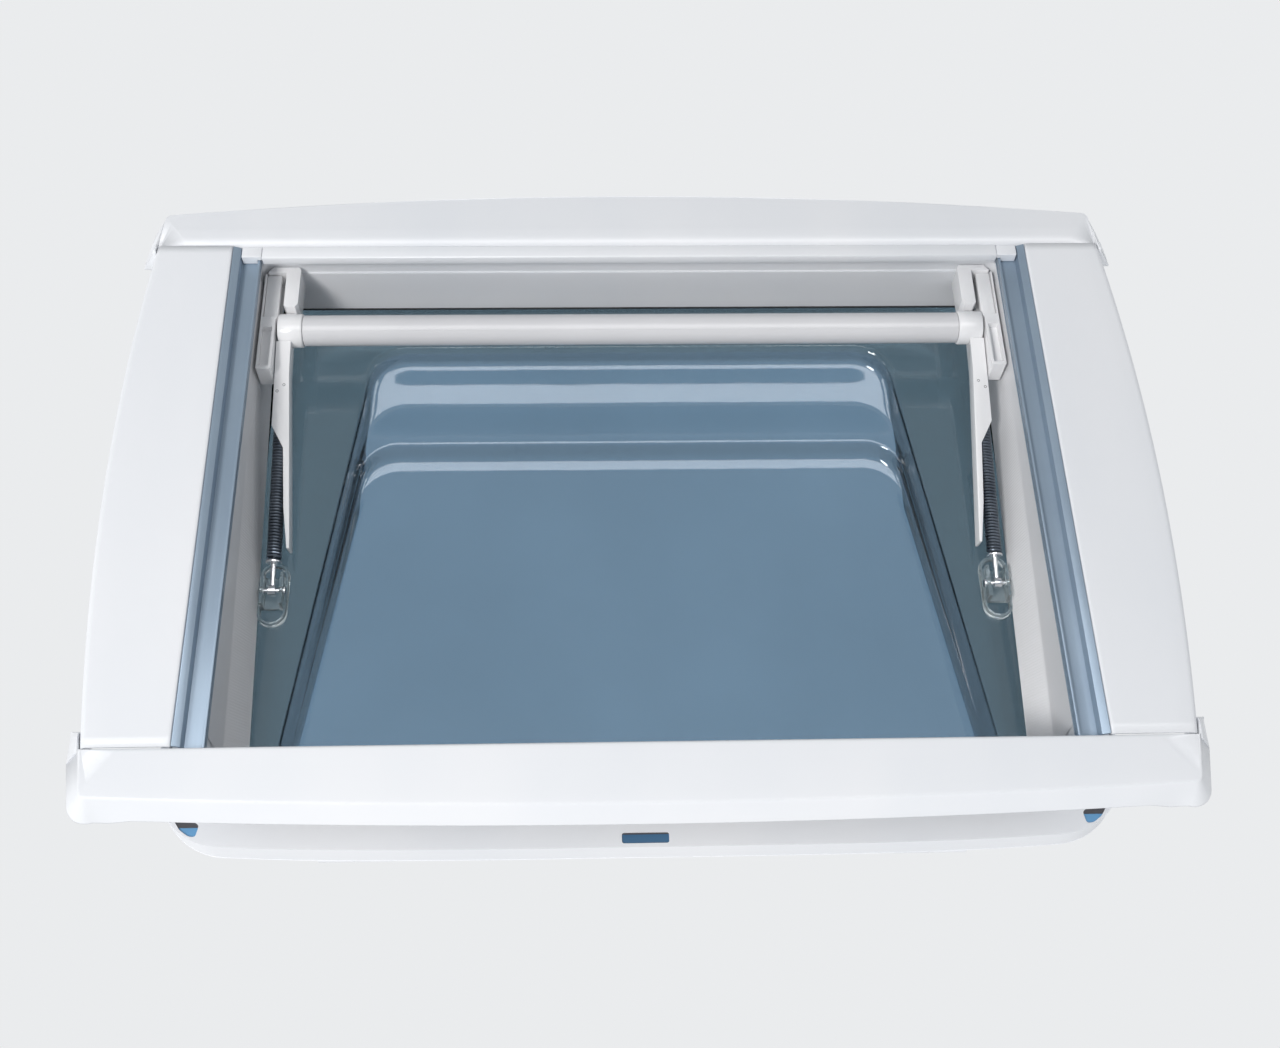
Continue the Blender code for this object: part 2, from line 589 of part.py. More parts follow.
def handle_bar():
    """Round bar between two moulded arms, each holding a spring on a rod."""
    reach = Vector((0, BAR_Y - PIVOT_Y, BAR_Z - PIVOT_Z)).length
    tube = cylinder("handle_tube", (-SLEEVE_X[0] + GAP, BAR_Y, BAR_Z), (SLEEVE_X[0] - GAP, BAR_Y, BAR_Z),
                    BAR_R, "white_plastic", 24)
    boolean(tube, [cylinder("tube_bore", (-320 * MM, BAR_Y, BAR_Z), (320 * MM, BAR_Y, BAR_Z), BAR_R - 1.5 * MM,
                            None, 24, HELPERS)])
    for side, sign in SIDES.items():
        cylinder(f"sleeve_{side}", (sign * SLEEVE_X[0], BAR_Y, BAR_Z), (sign * SLEEVE_X[1], BAR_Y, BAR_Z),
                 SLEEVE_R, "white_plastic", 24)
        frame = arm_frame(sign)
        inner, outer = ARM_X
        outline = [(inner, ARM_TIP), (inner + 2.6 * MM, ARM_TIP), (inner + 7 * MM, 73 * MM),
                   (inner + 10.2 * MM, 129 * MM), (outer, 150 * MM), (outer, reach - 8 * MM),
                   (ARM_NECK_X, reach - 8 * MM), (ARM_NECK_X, ARM_NECK)]
        arm = plate(f"arm_{side}", [outline], ARM_T, frame, "white_plastic")
        cut = cylinder(f"sleeve_form_{side}", (sign * 290 * MM, BAR_Y, BAR_Z), (sign * 335 * MM, BAR_Y, BAR_Z),
                       SLEEVE_R + GAP, None, 24, HELPERS)
        bore = cylinder(f"spring_bore_{side}", frame @ Vector((ROD_X, 30 * MM, 0)),
                        frame @ Vector((ROD_X, 162 * MM, 0)), SPRING_R + SPRING_WIRE_R + 0.8 * MM, None, 20, HELPERS)
        tail = cylinder(f"rod_bore_{side}", frame @ Vector((ROD_X, 155 * MM, 0)),
                        frame @ Vector((ROD_X, 171 * MM, 0)), ROD_R + 0.6 * MM, None, 12, HELPERS)
        boolean(arm, [cut, bore, tail])
        rod_and_spring(side, sign, frame)
        clevis(side, sign)


def rod_and_spring(side, sign, frame):
    """The rod with its eye on the pivot pin, the seat that pushes the spring, and the spring."""
    eye = cylinder(f"spring_rod_{side}", (sign * (ROD_X - 3.5 * MM), PIVOT_Y, PIVOT_Z),
                   (sign * (ROD_X + 3.5 * MM), PIVOT_Y, PIVOT_Z), EYE_R, "bright_steel", 20)
    shank = cylinder(f"shank_form_{side}", frame @ Vector((ROD_X, 3.8 * MM, 0)),
                     frame @ Vector((ROD_X, 159 * MM, 0)), ROD_R, None, 12, HELPERS)
    hole = cylinder(f"eye_bore_{side}", (sign * 295 * MM, PIVOT_Y, PIVOT_Z), (sign * 335 * MM, PIVOT_Y, PIVOT_Z),
                    PIN_HOLE_R, None, 16, HELPERS)
    boolean(eye, [shank], "UNION")
    boolean(eye, [hole])
    start, stop = SPRING_SPAN
    seat = cylinder(f"spring_seat_{side}", frame @ Vector((ROD_X, start - 3.5 * MM, 0)),
                    frame @ Vector((ROD_X, start - 1.5 * MM, 0)), 7 * MM, "bright_steel", 20)
    boolean(seat, [cylinder(f"seat_bore_{side}", frame @ Vector((ROD_X, 20 * MM, 0)),
                            frame @ Vector((ROD_X, 60 * MM, 0)), ROD_R + GAP, None, 12, HELPERS)])
    points = []
    per_turn = 8
    for step in range(SPRING_TURNS * per_turn + 1):
        angle = 2 * math.pi * step / per_turn
        along = start + (stop - start) * step / (SPRING_TURNS * per_turn)
        points.append(frame @ Vector((ROD_X + SPRING_R * math.cos(angle), along, SPRING_R * math.sin(angle))))
    wire(f"spring_{side}", points, SPRING_WIRE_R, "spring_steel", resolution=0)


def clevis(side, sign):
    """Clear clevis under the dome's edge, with the headed pin that the rod swings on."""
    half = 9.8 * MM
    top = SKIN_Z - GAP
    ear = 3 * MM
    outline = [(ROD_X - half, 84.5 * MM), (ROD_X - half + ear, 84.5 * MM), (ROD_X - half + ear, top - 3 * MM),
               (ROD_X + half - ear, top - 3 * MM), (ROD_X + half - ear, 84.5 * MM), (ROD_X + half, 84.5 * MM),
               (ROD_X + half, top), (ROD_X - half, top)]
    made = plate(f"clevis_{side}", [mirrored(outline, sign)], 30 * MM, facing_y(PIVOT_Y), "clear_plastic")
    hole = cylinder(f"clevis_bore_{side}", (sign * 295 * MM, PIVOT_Y, PIVOT_Z), (sign * 335 * MM, PIVOT_Y, PIVOT_Z),
                    PIN_HOLE_R, None, 16, HELPERS)
    boolean(made, [hole])
    inward = ROD_X - half - GAP
    head_r = 4 * MM
    profile = [(0, 21 * MM), (PIN_R, 20.5 * MM), (PIN_R, 0), (head_r, 0), (head_r, -1.6 * MM), (0, -2 * MM)]
    pin = turn(f"clevis_pin_{side}", profile, (sign * inward, PIVOT_Y, PIVOT_Z), "bright_steel", 16)
    pin.rotation_euler = (0, sign * math.radians(90), 0)


def catches():
    """Housing in each corner with a cheek beside the bar, and the sprung release lever."""
    floor, top = 31 * MM, 56 * MM
    for side, sign in SIDES.items():
        outline = [(330, -238.6), (336.6, -230), (336.6, -127.5), (335.4, -126.3), (324.6, -126.3),
                   (323.4, -127.5), (323.4, -180), (322, -182), (322, -233), (317.4, -233), (317.4, -196),
                   (315.5, -194), (307, -194), (304.6, -198), (304.6, -236), (306.5, -238.6)]
        points = [(sign * x * MM, y * MM) for x, y in outline]
        made = plate(f"catch_housing_{side}", [points], top - floor, level((floor + top) / 2), "white_plastic")
        pad_pocket = block_form(f"pad_form_{side}", sign, (321, -232.8, 20), (335.4, -183, 51))
        recess = block_form(f"recess_form_{side}", sign, (325.6, -172, 20), (334.8, -130, 38))
        boolean(made, [pad_pocket, recess])
        low_x, high_x = sorted((sign * 322.3 * MM, sign * 335 * MM))
        box(f"catch_lever_{side}", (low_x, -231.8 * MM, 34 * MM), (high_x, -184 * MM, 42 * MM), "white_plastic",
            1 * MM)


def block_form(name, sign, low, high):
    """A helper block in millimetres, on the left or the right side."""
    low_x, high_x = sorted((sign * low[0] * MM, sign * high[0] * MM))
    return box(name, (low_x, low[1] * MM, low[2] * MM), (high_x, high[1] * MM, high[2] * MM), None, group=HELPERS)


clear_scene()
PARTS = collection("tilt_roof_hatch")
HELPERS = collection("helpers")
covers()
blind_channels()
blinds()
outer_frame()
clamps()
seals()
side_liners()
dome()
hinges()
handle_bar()
catches()
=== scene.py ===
import json
import math

import bmesh
import bpy
from mathutils import Matrix, Vector

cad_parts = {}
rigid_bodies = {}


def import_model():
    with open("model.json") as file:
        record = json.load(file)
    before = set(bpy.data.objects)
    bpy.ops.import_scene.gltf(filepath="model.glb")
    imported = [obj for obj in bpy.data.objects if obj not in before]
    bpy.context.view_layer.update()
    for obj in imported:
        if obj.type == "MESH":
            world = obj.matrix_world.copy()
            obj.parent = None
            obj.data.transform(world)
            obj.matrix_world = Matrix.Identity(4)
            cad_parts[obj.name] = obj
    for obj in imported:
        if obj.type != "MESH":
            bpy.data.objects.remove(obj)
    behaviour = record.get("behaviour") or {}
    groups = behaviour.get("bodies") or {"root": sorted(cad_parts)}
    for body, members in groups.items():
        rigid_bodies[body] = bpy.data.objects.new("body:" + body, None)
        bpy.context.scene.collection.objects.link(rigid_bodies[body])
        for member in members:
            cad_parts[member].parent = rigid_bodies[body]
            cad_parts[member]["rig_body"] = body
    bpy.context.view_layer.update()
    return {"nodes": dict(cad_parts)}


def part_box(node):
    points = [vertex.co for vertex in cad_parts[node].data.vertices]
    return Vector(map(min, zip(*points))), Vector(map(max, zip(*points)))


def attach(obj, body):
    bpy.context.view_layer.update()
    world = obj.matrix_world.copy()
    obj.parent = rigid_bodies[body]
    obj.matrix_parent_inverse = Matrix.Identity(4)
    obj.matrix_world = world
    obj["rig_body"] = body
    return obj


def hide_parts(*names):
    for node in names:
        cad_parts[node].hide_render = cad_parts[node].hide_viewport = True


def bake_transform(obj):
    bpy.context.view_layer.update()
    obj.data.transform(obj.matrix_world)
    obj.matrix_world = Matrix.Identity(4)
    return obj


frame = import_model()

MM = 0.001
SIDES = {"left": -1, "right": 1}
NODES = frame["nodes"]

# Photographed view: where the camera stands, what it looks at and how far it leans
CAMERA_SPOT = Vector((-0.0439, 0.6668, -1.1267))
CAMERA_AIM = Vector((0.0019, 0.0268, 0.045))
CAMERA_ROLL = -1.6
CAMERA_LENS = 43.9

SEAM_Y = 240 * MM                           # where the end covers meet the side rails
RAIL_BOW = 14 * MM                          # how far the rails bow out between their ends
FLARE_BOW, FLARE_END = 10 * MM, 17 * MM     # how far a skirt leans out, along its bow and at its ends
RIM_BOW = 10 * MM                           # how far the hinge-side rim falls back at its corners
NOTCH_X, NOTCH = 388 * MM, 7 * MM           # the hinge side's skirt is shallower between its ends
MOULDING_T = 2.2 * MM                       # wall of the inner frame's covers and rails
SPRING_R, SPRING_WIRE_R, SPRING_TURNS = 5.5 * MM, 1.25 * MM, 44
FOLDS = 60                                  # panels in each folded blind

# Studio
KEY_POWER = 94
SKY_STRENGTH = 0.85
FLOOR_Z, FLOOR_HALF = -3.3, 12


# ---------------------------------------------------------------- materials

def blank(name):
    """A new material, with its node tree and its main shader."""
    made = bpy.data.materials.new(name)
    made.use_nodes = True
    return made, made.node_tree, made.node_tree.nodes["Principled BSDF"]


def add(tree, kind, inputs=None, **settings):
    """A node with some inputs and settings filled in."""
    made = tree.nodes.new(kind)
    for key, value in settings.items():
        setattr(made, key, value)
    for key, value in (inputs or {}).items():
        made.inputs[key].default_value = value
    return made


def object_space(tree, scale=(1, 1, 1)):
    """Object coordinates in metres, stretched by a scale."""
    place = add(tree, "ShaderNodeTexCoord")
    mapping = add(tree, "ShaderNodeMapping", {"Scale": scale})
    tree.links.new(place.outputs["Object"], mapping.inputs["Vector"])
    return mapping.outputs["Vector"]


def noise(tree, vector, scale, detail=3.0, roughness=0.5):
    made = add(tree, "ShaderNodeTexNoise", {"Scale": scale, "Detail": detail, "Roughness": roughness})
    tree.links.new(vector, made.inputs["Vector"])
    return made.outputs["Fac"]


def between(tree, factor, first, second):
    """A colour between two, led by a factor from 0.3 to 0.7, which is what noise gives."""
    ramp = add(tree, "ShaderNodeValToRGB")
    ramp.color_ramp.elements[0].position = 0.3
    ramp.color_ramp.elements[0].color = (*first, 1)
    ramp.color_ramp.elements[1].position = 0.7
    ramp.color_ramp.elements[1].color = (*second, 1)
    tree.links.new(factor, ramp.inputs["Fac"])
    return ramp.outputs["Color"]


def span(tree, factor, low, high):
    """A number from low to high, led by noise."""
    made = add(tree, "ShaderNodeMapRange", {"From Min": 0.3, "From Max": 0.7, "To Min": low, "To Max": high})
    tree.links.new(factor, made.inputs["Value"])
    return made.outputs["Result"]


def bump(tree, shader, height, distance, strength=1.0):
    made = add(tree, "ShaderNodeBump", {"Strength": strength, "Distance": distance})
    tree.links.new(height, made.inputs["Height"])
    tree.links.new(made.outputs["Normal"], shader.inputs["Normal"])


def moulded(name, dark, light, roughness, grain, depth):
    """Injection-moulded plastic: a fine spark-eroded grain, faint flow marks and a soft coat."""
    made, tree, shader = blank(name)
    vector = object_space(tree)
    flow = noise(tree, object_space(tree, (1, 0.35, 1)), 7, 2)
    tree.links.new(between(tree, flow, dark, light), shader.inputs["Base Color"])
    tree.links.new(span(tree, noise(tree, vector, 90, 4), *roughness), shader.inputs["Roughness"])
    bump(tree, shader, noise(tree, vector, grain, 4, 0.6), depth, 0.6)
    shader.inputs["Coat Weight"].default_value = 0.05
    shader.inputs["Specular IOR Level"].default_value = 0.3
    shader.inputs["Coat Roughness"].default_value = 0.2
    return made


def acrylic(name, tint, steep_shade, rim_shade, rim_top, waviness):
    """Tinted acrylic, with painted shade: greyer on steep faces and darker below the top of the rim."""
    made, tree, shader = blank(name)
    vector = object_space(tree)
    shader.inputs["Transmission Weight"].default_value = 1.0
    shader.inputs["IOR"].default_value = 1.49
    deeper = tuple(part * 0.95 for part in tint)
    flat = between(tree, noise(tree, vector, 5, 2), deeper, tint)
    place = add(tree, "ShaderNodeTexCoord")
    facing = add(tree, "ShaderNodeSeparateXYZ")
    tree.links.new(place.outputs["Normal"], facing.inputs["Vector"])
    upright = add(tree, "ShaderNodeMath", operation="ABSOLUTE")
    tree.links.new(facing.outputs["Z"], upright.inputs[0])
    # Painted shade: the colour greys as the face steepens.
    steep = add(tree, "ShaderNodeMapRange", {"From Min": 0.95, "From Max": 0.15})
    tree.links.new(upright.outputs["Value"], steep.inputs["Value"])
    shaded = blended(tree, steep.outputs["Result"], flat, steep_shade)
    # Painted shade: the colour darkens below the top of the rim.
    level = add(tree, "ShaderNodeSeparateXYZ")
    tree.links.new(place.outputs["Object"], level.inputs["Vector"])
    below = add(tree, "ShaderNodeMapRange", {"From Min": rim_top + 3 * MM, "From Max": rim_top})
    tree.links.new(level.outputs["Z"], below.inputs["Value"])
    whole = blended(tree, below.outputs["Result"], shaded, rim_shade)
    tree.links.new(whole, shader.inputs["Base Color"])
    tree.links.new(span(tree, noise(tree, vector, 60, 2), 0.05, 0.09), shader.inputs["Roughness"])
    bump(tree, shader, noise(tree, vector, 9, 2), waviness, 0.5)
    return made


def blended(tree, factor, first, colour):
    """A socket's colour that gives way to a fixed one."""
    mix = add(tree, "ShaderNodeMix", data_type="RGBA")
    for socket in mix.inputs:
        if socket.name == "B" and socket.type == "RGBA":
            socket.default_value = (*colour, 1)
        if socket.name == "A" and socket.type == "RGBA":
            tree.links.new(first, socket)
        if socket.name == "Factor" and socket.type == "VALUE":
            tree.links.new(factor, socket)
    return [socket for socket in mix.outputs if socket.type == "RGBA"][0]


def anodised():
    """Extruded aluminium, blue-grey, with draw lines along its length."""
    made, tree, shader = blank("blue_grey_anodised_aluminium")
    lines = noise(tree, object_space(tree, (1, 0.004, 1)), 900, 3)
    patches = noise(tree, object_space(tree), 12, 3)
    tree.links.new(between(tree, patches, (0.26, 0.335, 0.42), (0.30, 0.38, 0.465)),
                   shader.inputs["Base Color"])
    tree.links.new(span(tree, lines, 0.28, 0.42), shader.inputs["Roughness"])
    bump(tree, shader, lines, 0.05 * MM, 0.5)
    shader.inputs["Metallic"].default_value = 0.35
    return made


def steel(name, dark, light, roughness, scratch):
    made, tree, shader = blank(name)
    vector = object_space(tree, (1, 1, 6))
    marks = noise(tree, vector, 1400, 4, 0.7)
    tree.links.new(between(tree, noise(tree, vector, 40, 3), dark, light), shader.inputs["Base Color"])
    tree.links.new(span(tree, marks, *roughness), shader.inputs["Roughness"])
    bump(tree, shader, marks, scratch, 0.5)
    shader.inputs["Metallic"].default_value = 1.0
    return made


def rubber():
    made, tree, shader = blank("black_rubber")
    vector = object_space(tree)
    tree.links.new(between(tree, noise(tree, vector, 60, 4), (0.018, 0.019, 0.021), (0.04, 0.041, 0.045)),
                   shader.inputs["Base Color"])
    tree.links.new(span(tree, noise(tree, vector, 300, 3), 0.55, 0.8), shader.inputs["Roughness"])
    bump(tree, shader, noise(tree, vector, 1500, 3), 0.1 * MM, 0.6)
    return made


def woven(name, dark, light, pitch, see_through):
    """Cloth with crossing threads. see_through leaves holes between the threads."""
    made, tree, shader = blank(name)
    vector = object_space(tree)
    threads = []
    for direction in ("X", "Z"):
        wave = add(tree, "ShaderNodeTexWave", {"Scale": 0.314 / pitch, "Distortion": 0.3},
                   bands_direction=direction)
        tree.links.new(vector, wave.inputs["Vector"])
        threads.append(wave.outputs["Fac"])
    weave = add(tree, "ShaderNodeMath", operation="MAXIMUM")
    tree.links.new(threads[0], weave.inputs[0])
    tree.links.new(threads[1], weave.inputs[1])
    tree.links.new(between(tree, noise(tree, vector, 200, 4), dark, light), shader.inputs["Base Color"])
    bump(tree, shader, weave.outputs["Value"], 0.15 * MM, 0.7)
    if see_through:
        tree.links.new(span(tree, weave.outputs["Value"], 0.25, 1.0), shader.inputs["Alpha"])
    shader.inputs["Roughness"].default_value = 0.85
    shader.inputs["Sheen Weight"].default_value = 0.25
    return made


def clear_moulding():
    made, tree, shader = blank("clear_moulded_plastic")
    vector = object_space(tree)
    tree.links.new(between(tree, noise(tree, vector, 30, 2), (0.80, 0.88, 0.90), (0.88, 0.94, 0.95)),
                   shader.inputs["Base Color"])
    tree.links.new(span(tree, noise(tree, vector, 200, 3), 0.03, 0.1), shader.inputs["Roughness"])
    bump(tree, shader, noise(tree, vector, 120, 3), 0.2 * MM, 0.5)
    shader.inputs["Transmission Weight"].default_value = 0.9
    shader.inputs["IOR"].default_value = 1.49
    return made


def painted(name, dark, light, roughness):
    """A plain matt surface for the floor, the vents' screens and the painted shade of small recesses."""
    made, tree, shader = blank(name)
    vector = object_space(tree)
    tree.links.new(between(tree, noise(tree, vector, 3, 3), dark, light), shader.inputs["Base Color"])
    tree.links.new(span(tree, noise(tree, vector, 50, 3), roughness, roughness + 0.1),
                   shader.inputs["Roughness"])
    bump(tree, shader, noise(tree, vector, 400, 3), 0.1 * MM, 0.3)
    return made


MATERIALS = {
    "white_plastic": moulded("satin_white_plastic", (0.80, 0.82, 0.855), (0.85, 0.86, 0.885),
                             (0.30, 0.42), 2600, 0.06 * MM),
    # Glossier and lighter than the satin white; the lighter colour is partly painted light, lifting the
    # shade on the catches in their recesses.
    "gloss_white": moulded("gloss_lit_white_plastic", (0.86, 0.86, 0.875), (0.90, 0.90, 0.91),
                           (0.10, 0.18), 1500, 0.02 * MM),
    # Painted shade: a darker copy of the white plastic, for the bar's tube only.
    "tube_white": moulded("tube_shaded_white_plastic", (0.66, 0.66, 0.68), (0.71, 0.71, 0.73),
                          (0.16, 0.24), 1500, 0.02 * MM),
    "wall_plastic": moulded("liner_plastic", (0.74, 0.745, 0.765), (0.79, 0.79, 0.805),
                            (0.35, 0.45), 1800, 0.08 * MM),
    "rail_metal": anodised(),
    "rubber": rubber(),
    # Painted shade in both acrylics: the second colour greys steep faces, and the inner skin's third colour
    # darkens its rim below 103.4 mm.
    "tinted_acrylic": acrylic("tinted_acrylic", (0.43, 0.545, 0.645), (0.20, 0.235, 0.26),
                              (0.24, 0.30, 0.32), 103.4 * MM, 1.2 * MM),
    "outer_acrylic": acrylic("outer_tinted_acrylic", (0.43, 0.55, 0.65), (0.34, 0.41, 0.47),
                             (0.43, 0.55, 0.65), 60 * MM, 1.2 * MM),
    "clear_plastic": clear_moulding(),
    "bright_steel": steel("bright_steel", (0.70, 0.71, 0.73), (0.82, 0.83, 0.85), (0.10, 0.22), 0.02 * MM),
    "spring_steel": steel("spring_steel", (0.10, 0.12, 0.15), (0.20, 0.23, 0.27), (0.25, 0.4), 0.04 * MM),
    "pleated_fabric": woven("pleated_blackout_cloth", (0.60, 0.60, 0.61), (0.70, 0.70, 0.71),
                            0.6 * MM, False),
    "screen_mesh": woven("pleated_insect_mesh", (0.08, 0.085, 0.09), (0.14, 0.145, 0.15), 1.2 * MM, True),
    "blue_screen": painted("blue_vent_screen", (0.10, 0.30, 0.56), (0.16, 0.38, 0.64), 0.35),
    "deep_screen": painted("deep_blue_screen", (0.045, 0.13, 0.25), (0.06, 0.16, 0.29), 0.35),
    # Painted shade: a near-black that stands for the shade in small recesses and at the edges of the flange
    # openings.
    "recess_shade": painted("painted_recess_shade", (0.05, 0.05, 0.06), (0.09, 0.09, 0.1), 0.6),
}


# ---------------------------------------------------------------- mesh tools

def as_piece(name, bm, body, slot, nodes=(), finish=None, angle=35):
    """A finished mesh as a piece that rides on a body and stands for CAD nodes."""
    mesh = bpy.data.meshes.new(name)
    bm.to_mesh(mesh)
    bm.free()
    piece = bpy.data.objects.new(name, mesh)
    bpy.context.scene.collection.objects.link(piece)
    mesh.materials.append(MATERIALS[finish or slot])
    mesh.shade_smooth()
    mesh.set_sharp_from_angle(angle=math.radians(angle))
    if body:
        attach(piece, body)
    if nodes:
        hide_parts(*nodes)
    return piece


def skin(rows, ring=False, closed=False, caps=(False, False), bm=None):
    """Faces between rows of points.

    ring joins each row's ends, and closed joins the last row to the first.
    """
    bm = bm or bmesh.new()
    made = [[bm.verts.new(point) for point in row] for row in rows]
    pairs = list(zip(made, made[1:]))
    if closed:
        pairs.append((made[-1], made[0]))
    count = len(made[0])
    for lower, upper in pairs:
        for index in range(count if ring else count - 1):
            after = (index + 1) % count
            bm.faces.new((lower[index], lower[after], upper[after], upper[index]))
    if caps[0]:
        bm.faces.new(list(reversed(made[0])))
    if caps[1]:
        bm.faces.new(made[-1])
    bmesh.ops.recalc_face_normals(bm, faces=bm.faces)
    return bm


def eased(points, cut, steps=4, closed=False):
    """The same line with each corner turned into a small curve."""
    out = []
    count = len(points)
    for index, point in enumerate(points):
        if not closed and index in (0, count - 1):
            out.append(point)
            continue
        before, after = points[index - 1], points[(index + 1) % count]
        back, on = before - point, after - point
        start = point + back.normalized() * min(cut, back.length * 0.45)
        stop = point + on.normalized() * min(cut, on.length * 0.45)
        for step in range(steps + 1):
            t = step / steps
            out.append(start * (1 - t) ** 2 + point * 2 * t * (1 - t) + stop * t ** 2)
    return out


def flowing(points, steps):
    """A smooth curve through points of any size (Catmull-Rom)."""
    out = []
    for index in range(len(points) - 1):
        before = points[max(index - 1, 0)]
        first, second = points[index], points[index + 1]
        after = points[min(index + 2, len(points) - 1)]
        for step in range(steps):
            t = step / steps
            out.append(0.5 * (2 * first + (second - before) * t
                              + (2 * before - 5 * first + 4 * second - after) * t ** 2
                              + (3 * first - before - 3 * second + after) * t ** 3))
    out.append(points[-1].copy())
    return out


def rounded_ring(low_y, high_y, low_half, high_half, radius, z, steps=14):
    """A level rounded outline between two Y values, which may taper in width."""
    corners = ((high_half, high_y, 0), (-high_half, high_y, 90),
               (-low_half, low_y, 180), (low_half, low_y, 270))
    points = []
    for x, y, start in corners:
        centre_x = x - math.copysign(radius, x)
        centre_y = y - radius if y == high_y else y + radius
        for step in range(steps + 1):
            angle = math.radians(start + 90 * step / steps)
            points.append(Vector((centre_x + radius * math.cos(angle),
                                  centre_y + radius * math.sin(angle), z)))
    return points


def swept(points, radius, sides=12, cyclic=False, bm=None):
    """A round tube along a line of points, with closed ends."""
    rings = []
    normal = None
    count = len(points)
    for index, point in enumerate(points):
        before = points[index - 1] if cyclic or index else point
        after = points[(index + 1) % count] if cyclic or index < count - 1 else point
        along = (after - before).normalized()
        if normal is None:
            normal = along.orthogonal().normalized()
        normal = (normal - along * normal.dot(along)).normalized()
        other = along.cross(normal)
        ring = []
        for side in range(sides):
            angle = 2 * math.pi * side / sides
            ring.append(point + (normal * math.cos(angle) + other * math.sin(angle)) * radius)
        rings.append(ring)
    return skin(rings, ring=True, closed=cyclic, caps=(not cyclic, not cyclic), bm=bm)


def turned(profile, start, along, sides=48, bm=None):
    """A profile of (distance along, radius) turned about a line that starts at a point."""
    along = along.normalized()
    normal = along.orthogonal().normalized()
    other = along.cross(normal)
    rings = []
    for distance, radius in profile:
        ring = []
        for side in range(sides):
            angle = 2 * math.pi * side / sides
            spoke = normal * math.cos(angle) + other * math.sin(angle)
            ring.append(start + along * distance + spoke * max(radius, 0.01 * MM))
        rings.append(ring)
    return skin(rings, ring=True, caps=(True, True), bm=bm)


def body_of(node):
    return NODES[node]["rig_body"]


def refined(node, width=0.6 * MM, segments=3, finish=None, angle=28):
    """A CAD node's shape with its edges rounded as a mould or an extrusion leaves them."""
    bm = bmesh.new()
    bm.from_mesh(NODES[node].data)
    bmesh.ops.remove_doubles(bm, verts=bm.verts, dist=0.01 * MM)
    bmesh.ops.dissolve_limit(bm, angle_limit=math.radians(0.5), verts=bm.verts, edges=bm.edges)
    slot = NODES[node].data.materials[0].name.split(".")[0]
    piece = as_piece(node + "_fine", bm, body_of(node), slot, (node,), finish, angle=180)
    rounding = piece.modifiers.new("rounded", "BEVEL")
    rounding.width = width
    rounding.segments = segments
    rounding.limit_method = "ANGLE"
    rounding.angle_limit = math.radians(angle)
    rounding.harden_normals = True
    return piece


def cut_out(piece, outlines, low, high):
    """Cut prisms with level outlines out of a piece, and keep the result as its mesh."""
    helpers = []
    for outline in outlines:
        bm = skin([[Vector((p.x, p.y, low)) for p in outline], [Vector((p.x, p.y, high)) for p in outline]],
                  ring=True, caps=(True, True))
        mesh = bpy.data.meshes.new("cutter")
        bm.to_mesh(mesh)
        bm.free()
        helper = bpy.data.objects.new("cutter", mesh)
        bpy.context.scene.collection.objects.link(helper)
        step = piece.modifiers.new("cut", "BOOLEAN")
        step.object = helper
        helpers.append(helper)
    bpy.context.view_layer.update()
    shape = piece.evaluated_get(bpy.context.evaluated_depsgraph_get())
    piece.data = bpy.data.meshes.new_from_object(shape)
    piece.modifiers.clear()
    for helper in helpers:
        bpy.data.objects.remove(helper)
    return piece


def thicken(piece, thickness):
    shell = piece.modifiers.new("wall", "SOLIDIFY")
    shell.thickness = thickness
    shell.offset = -1
    shell.use_even_offset = True
    return piece


# ---------------------------------------------------------------- inner frame

def bowed(half, edge, corner_half, corner, steps=48):
    """Outer edge of a cover at its face, from one seam round two corners to the other."""
    line = [Vector((half, SEAM_Y)), Vector((corner_half, corner))]
    for step in range(1, steps):
        x = corner_half * (1 - 2 * step / steps)
        line.append(Vector((x, edge - (edge - corner) * (x / corner_half) ** 2)))
    line += [Vector((-corner_half, corner)), Vector((-half, SEAM_Y))]
    corners = eased(line[:3], 5 * MM, 8)
    ends = eased(line[-3:], 5 * MM, 8)
    return corners[:-1] + line[2:-2] + ends[1:]


def outward(path):
    """Unit normals that point out of a cover's outline."""
    normals = []
    for index in range(len(path)):
        before = path[max(index - 1, 0)]
        after = path[min(index + 1, len(path) - 1)]
        along = (after - before).normalized()
        normals.append(Vector((along.y, -along.x)))
    return normals


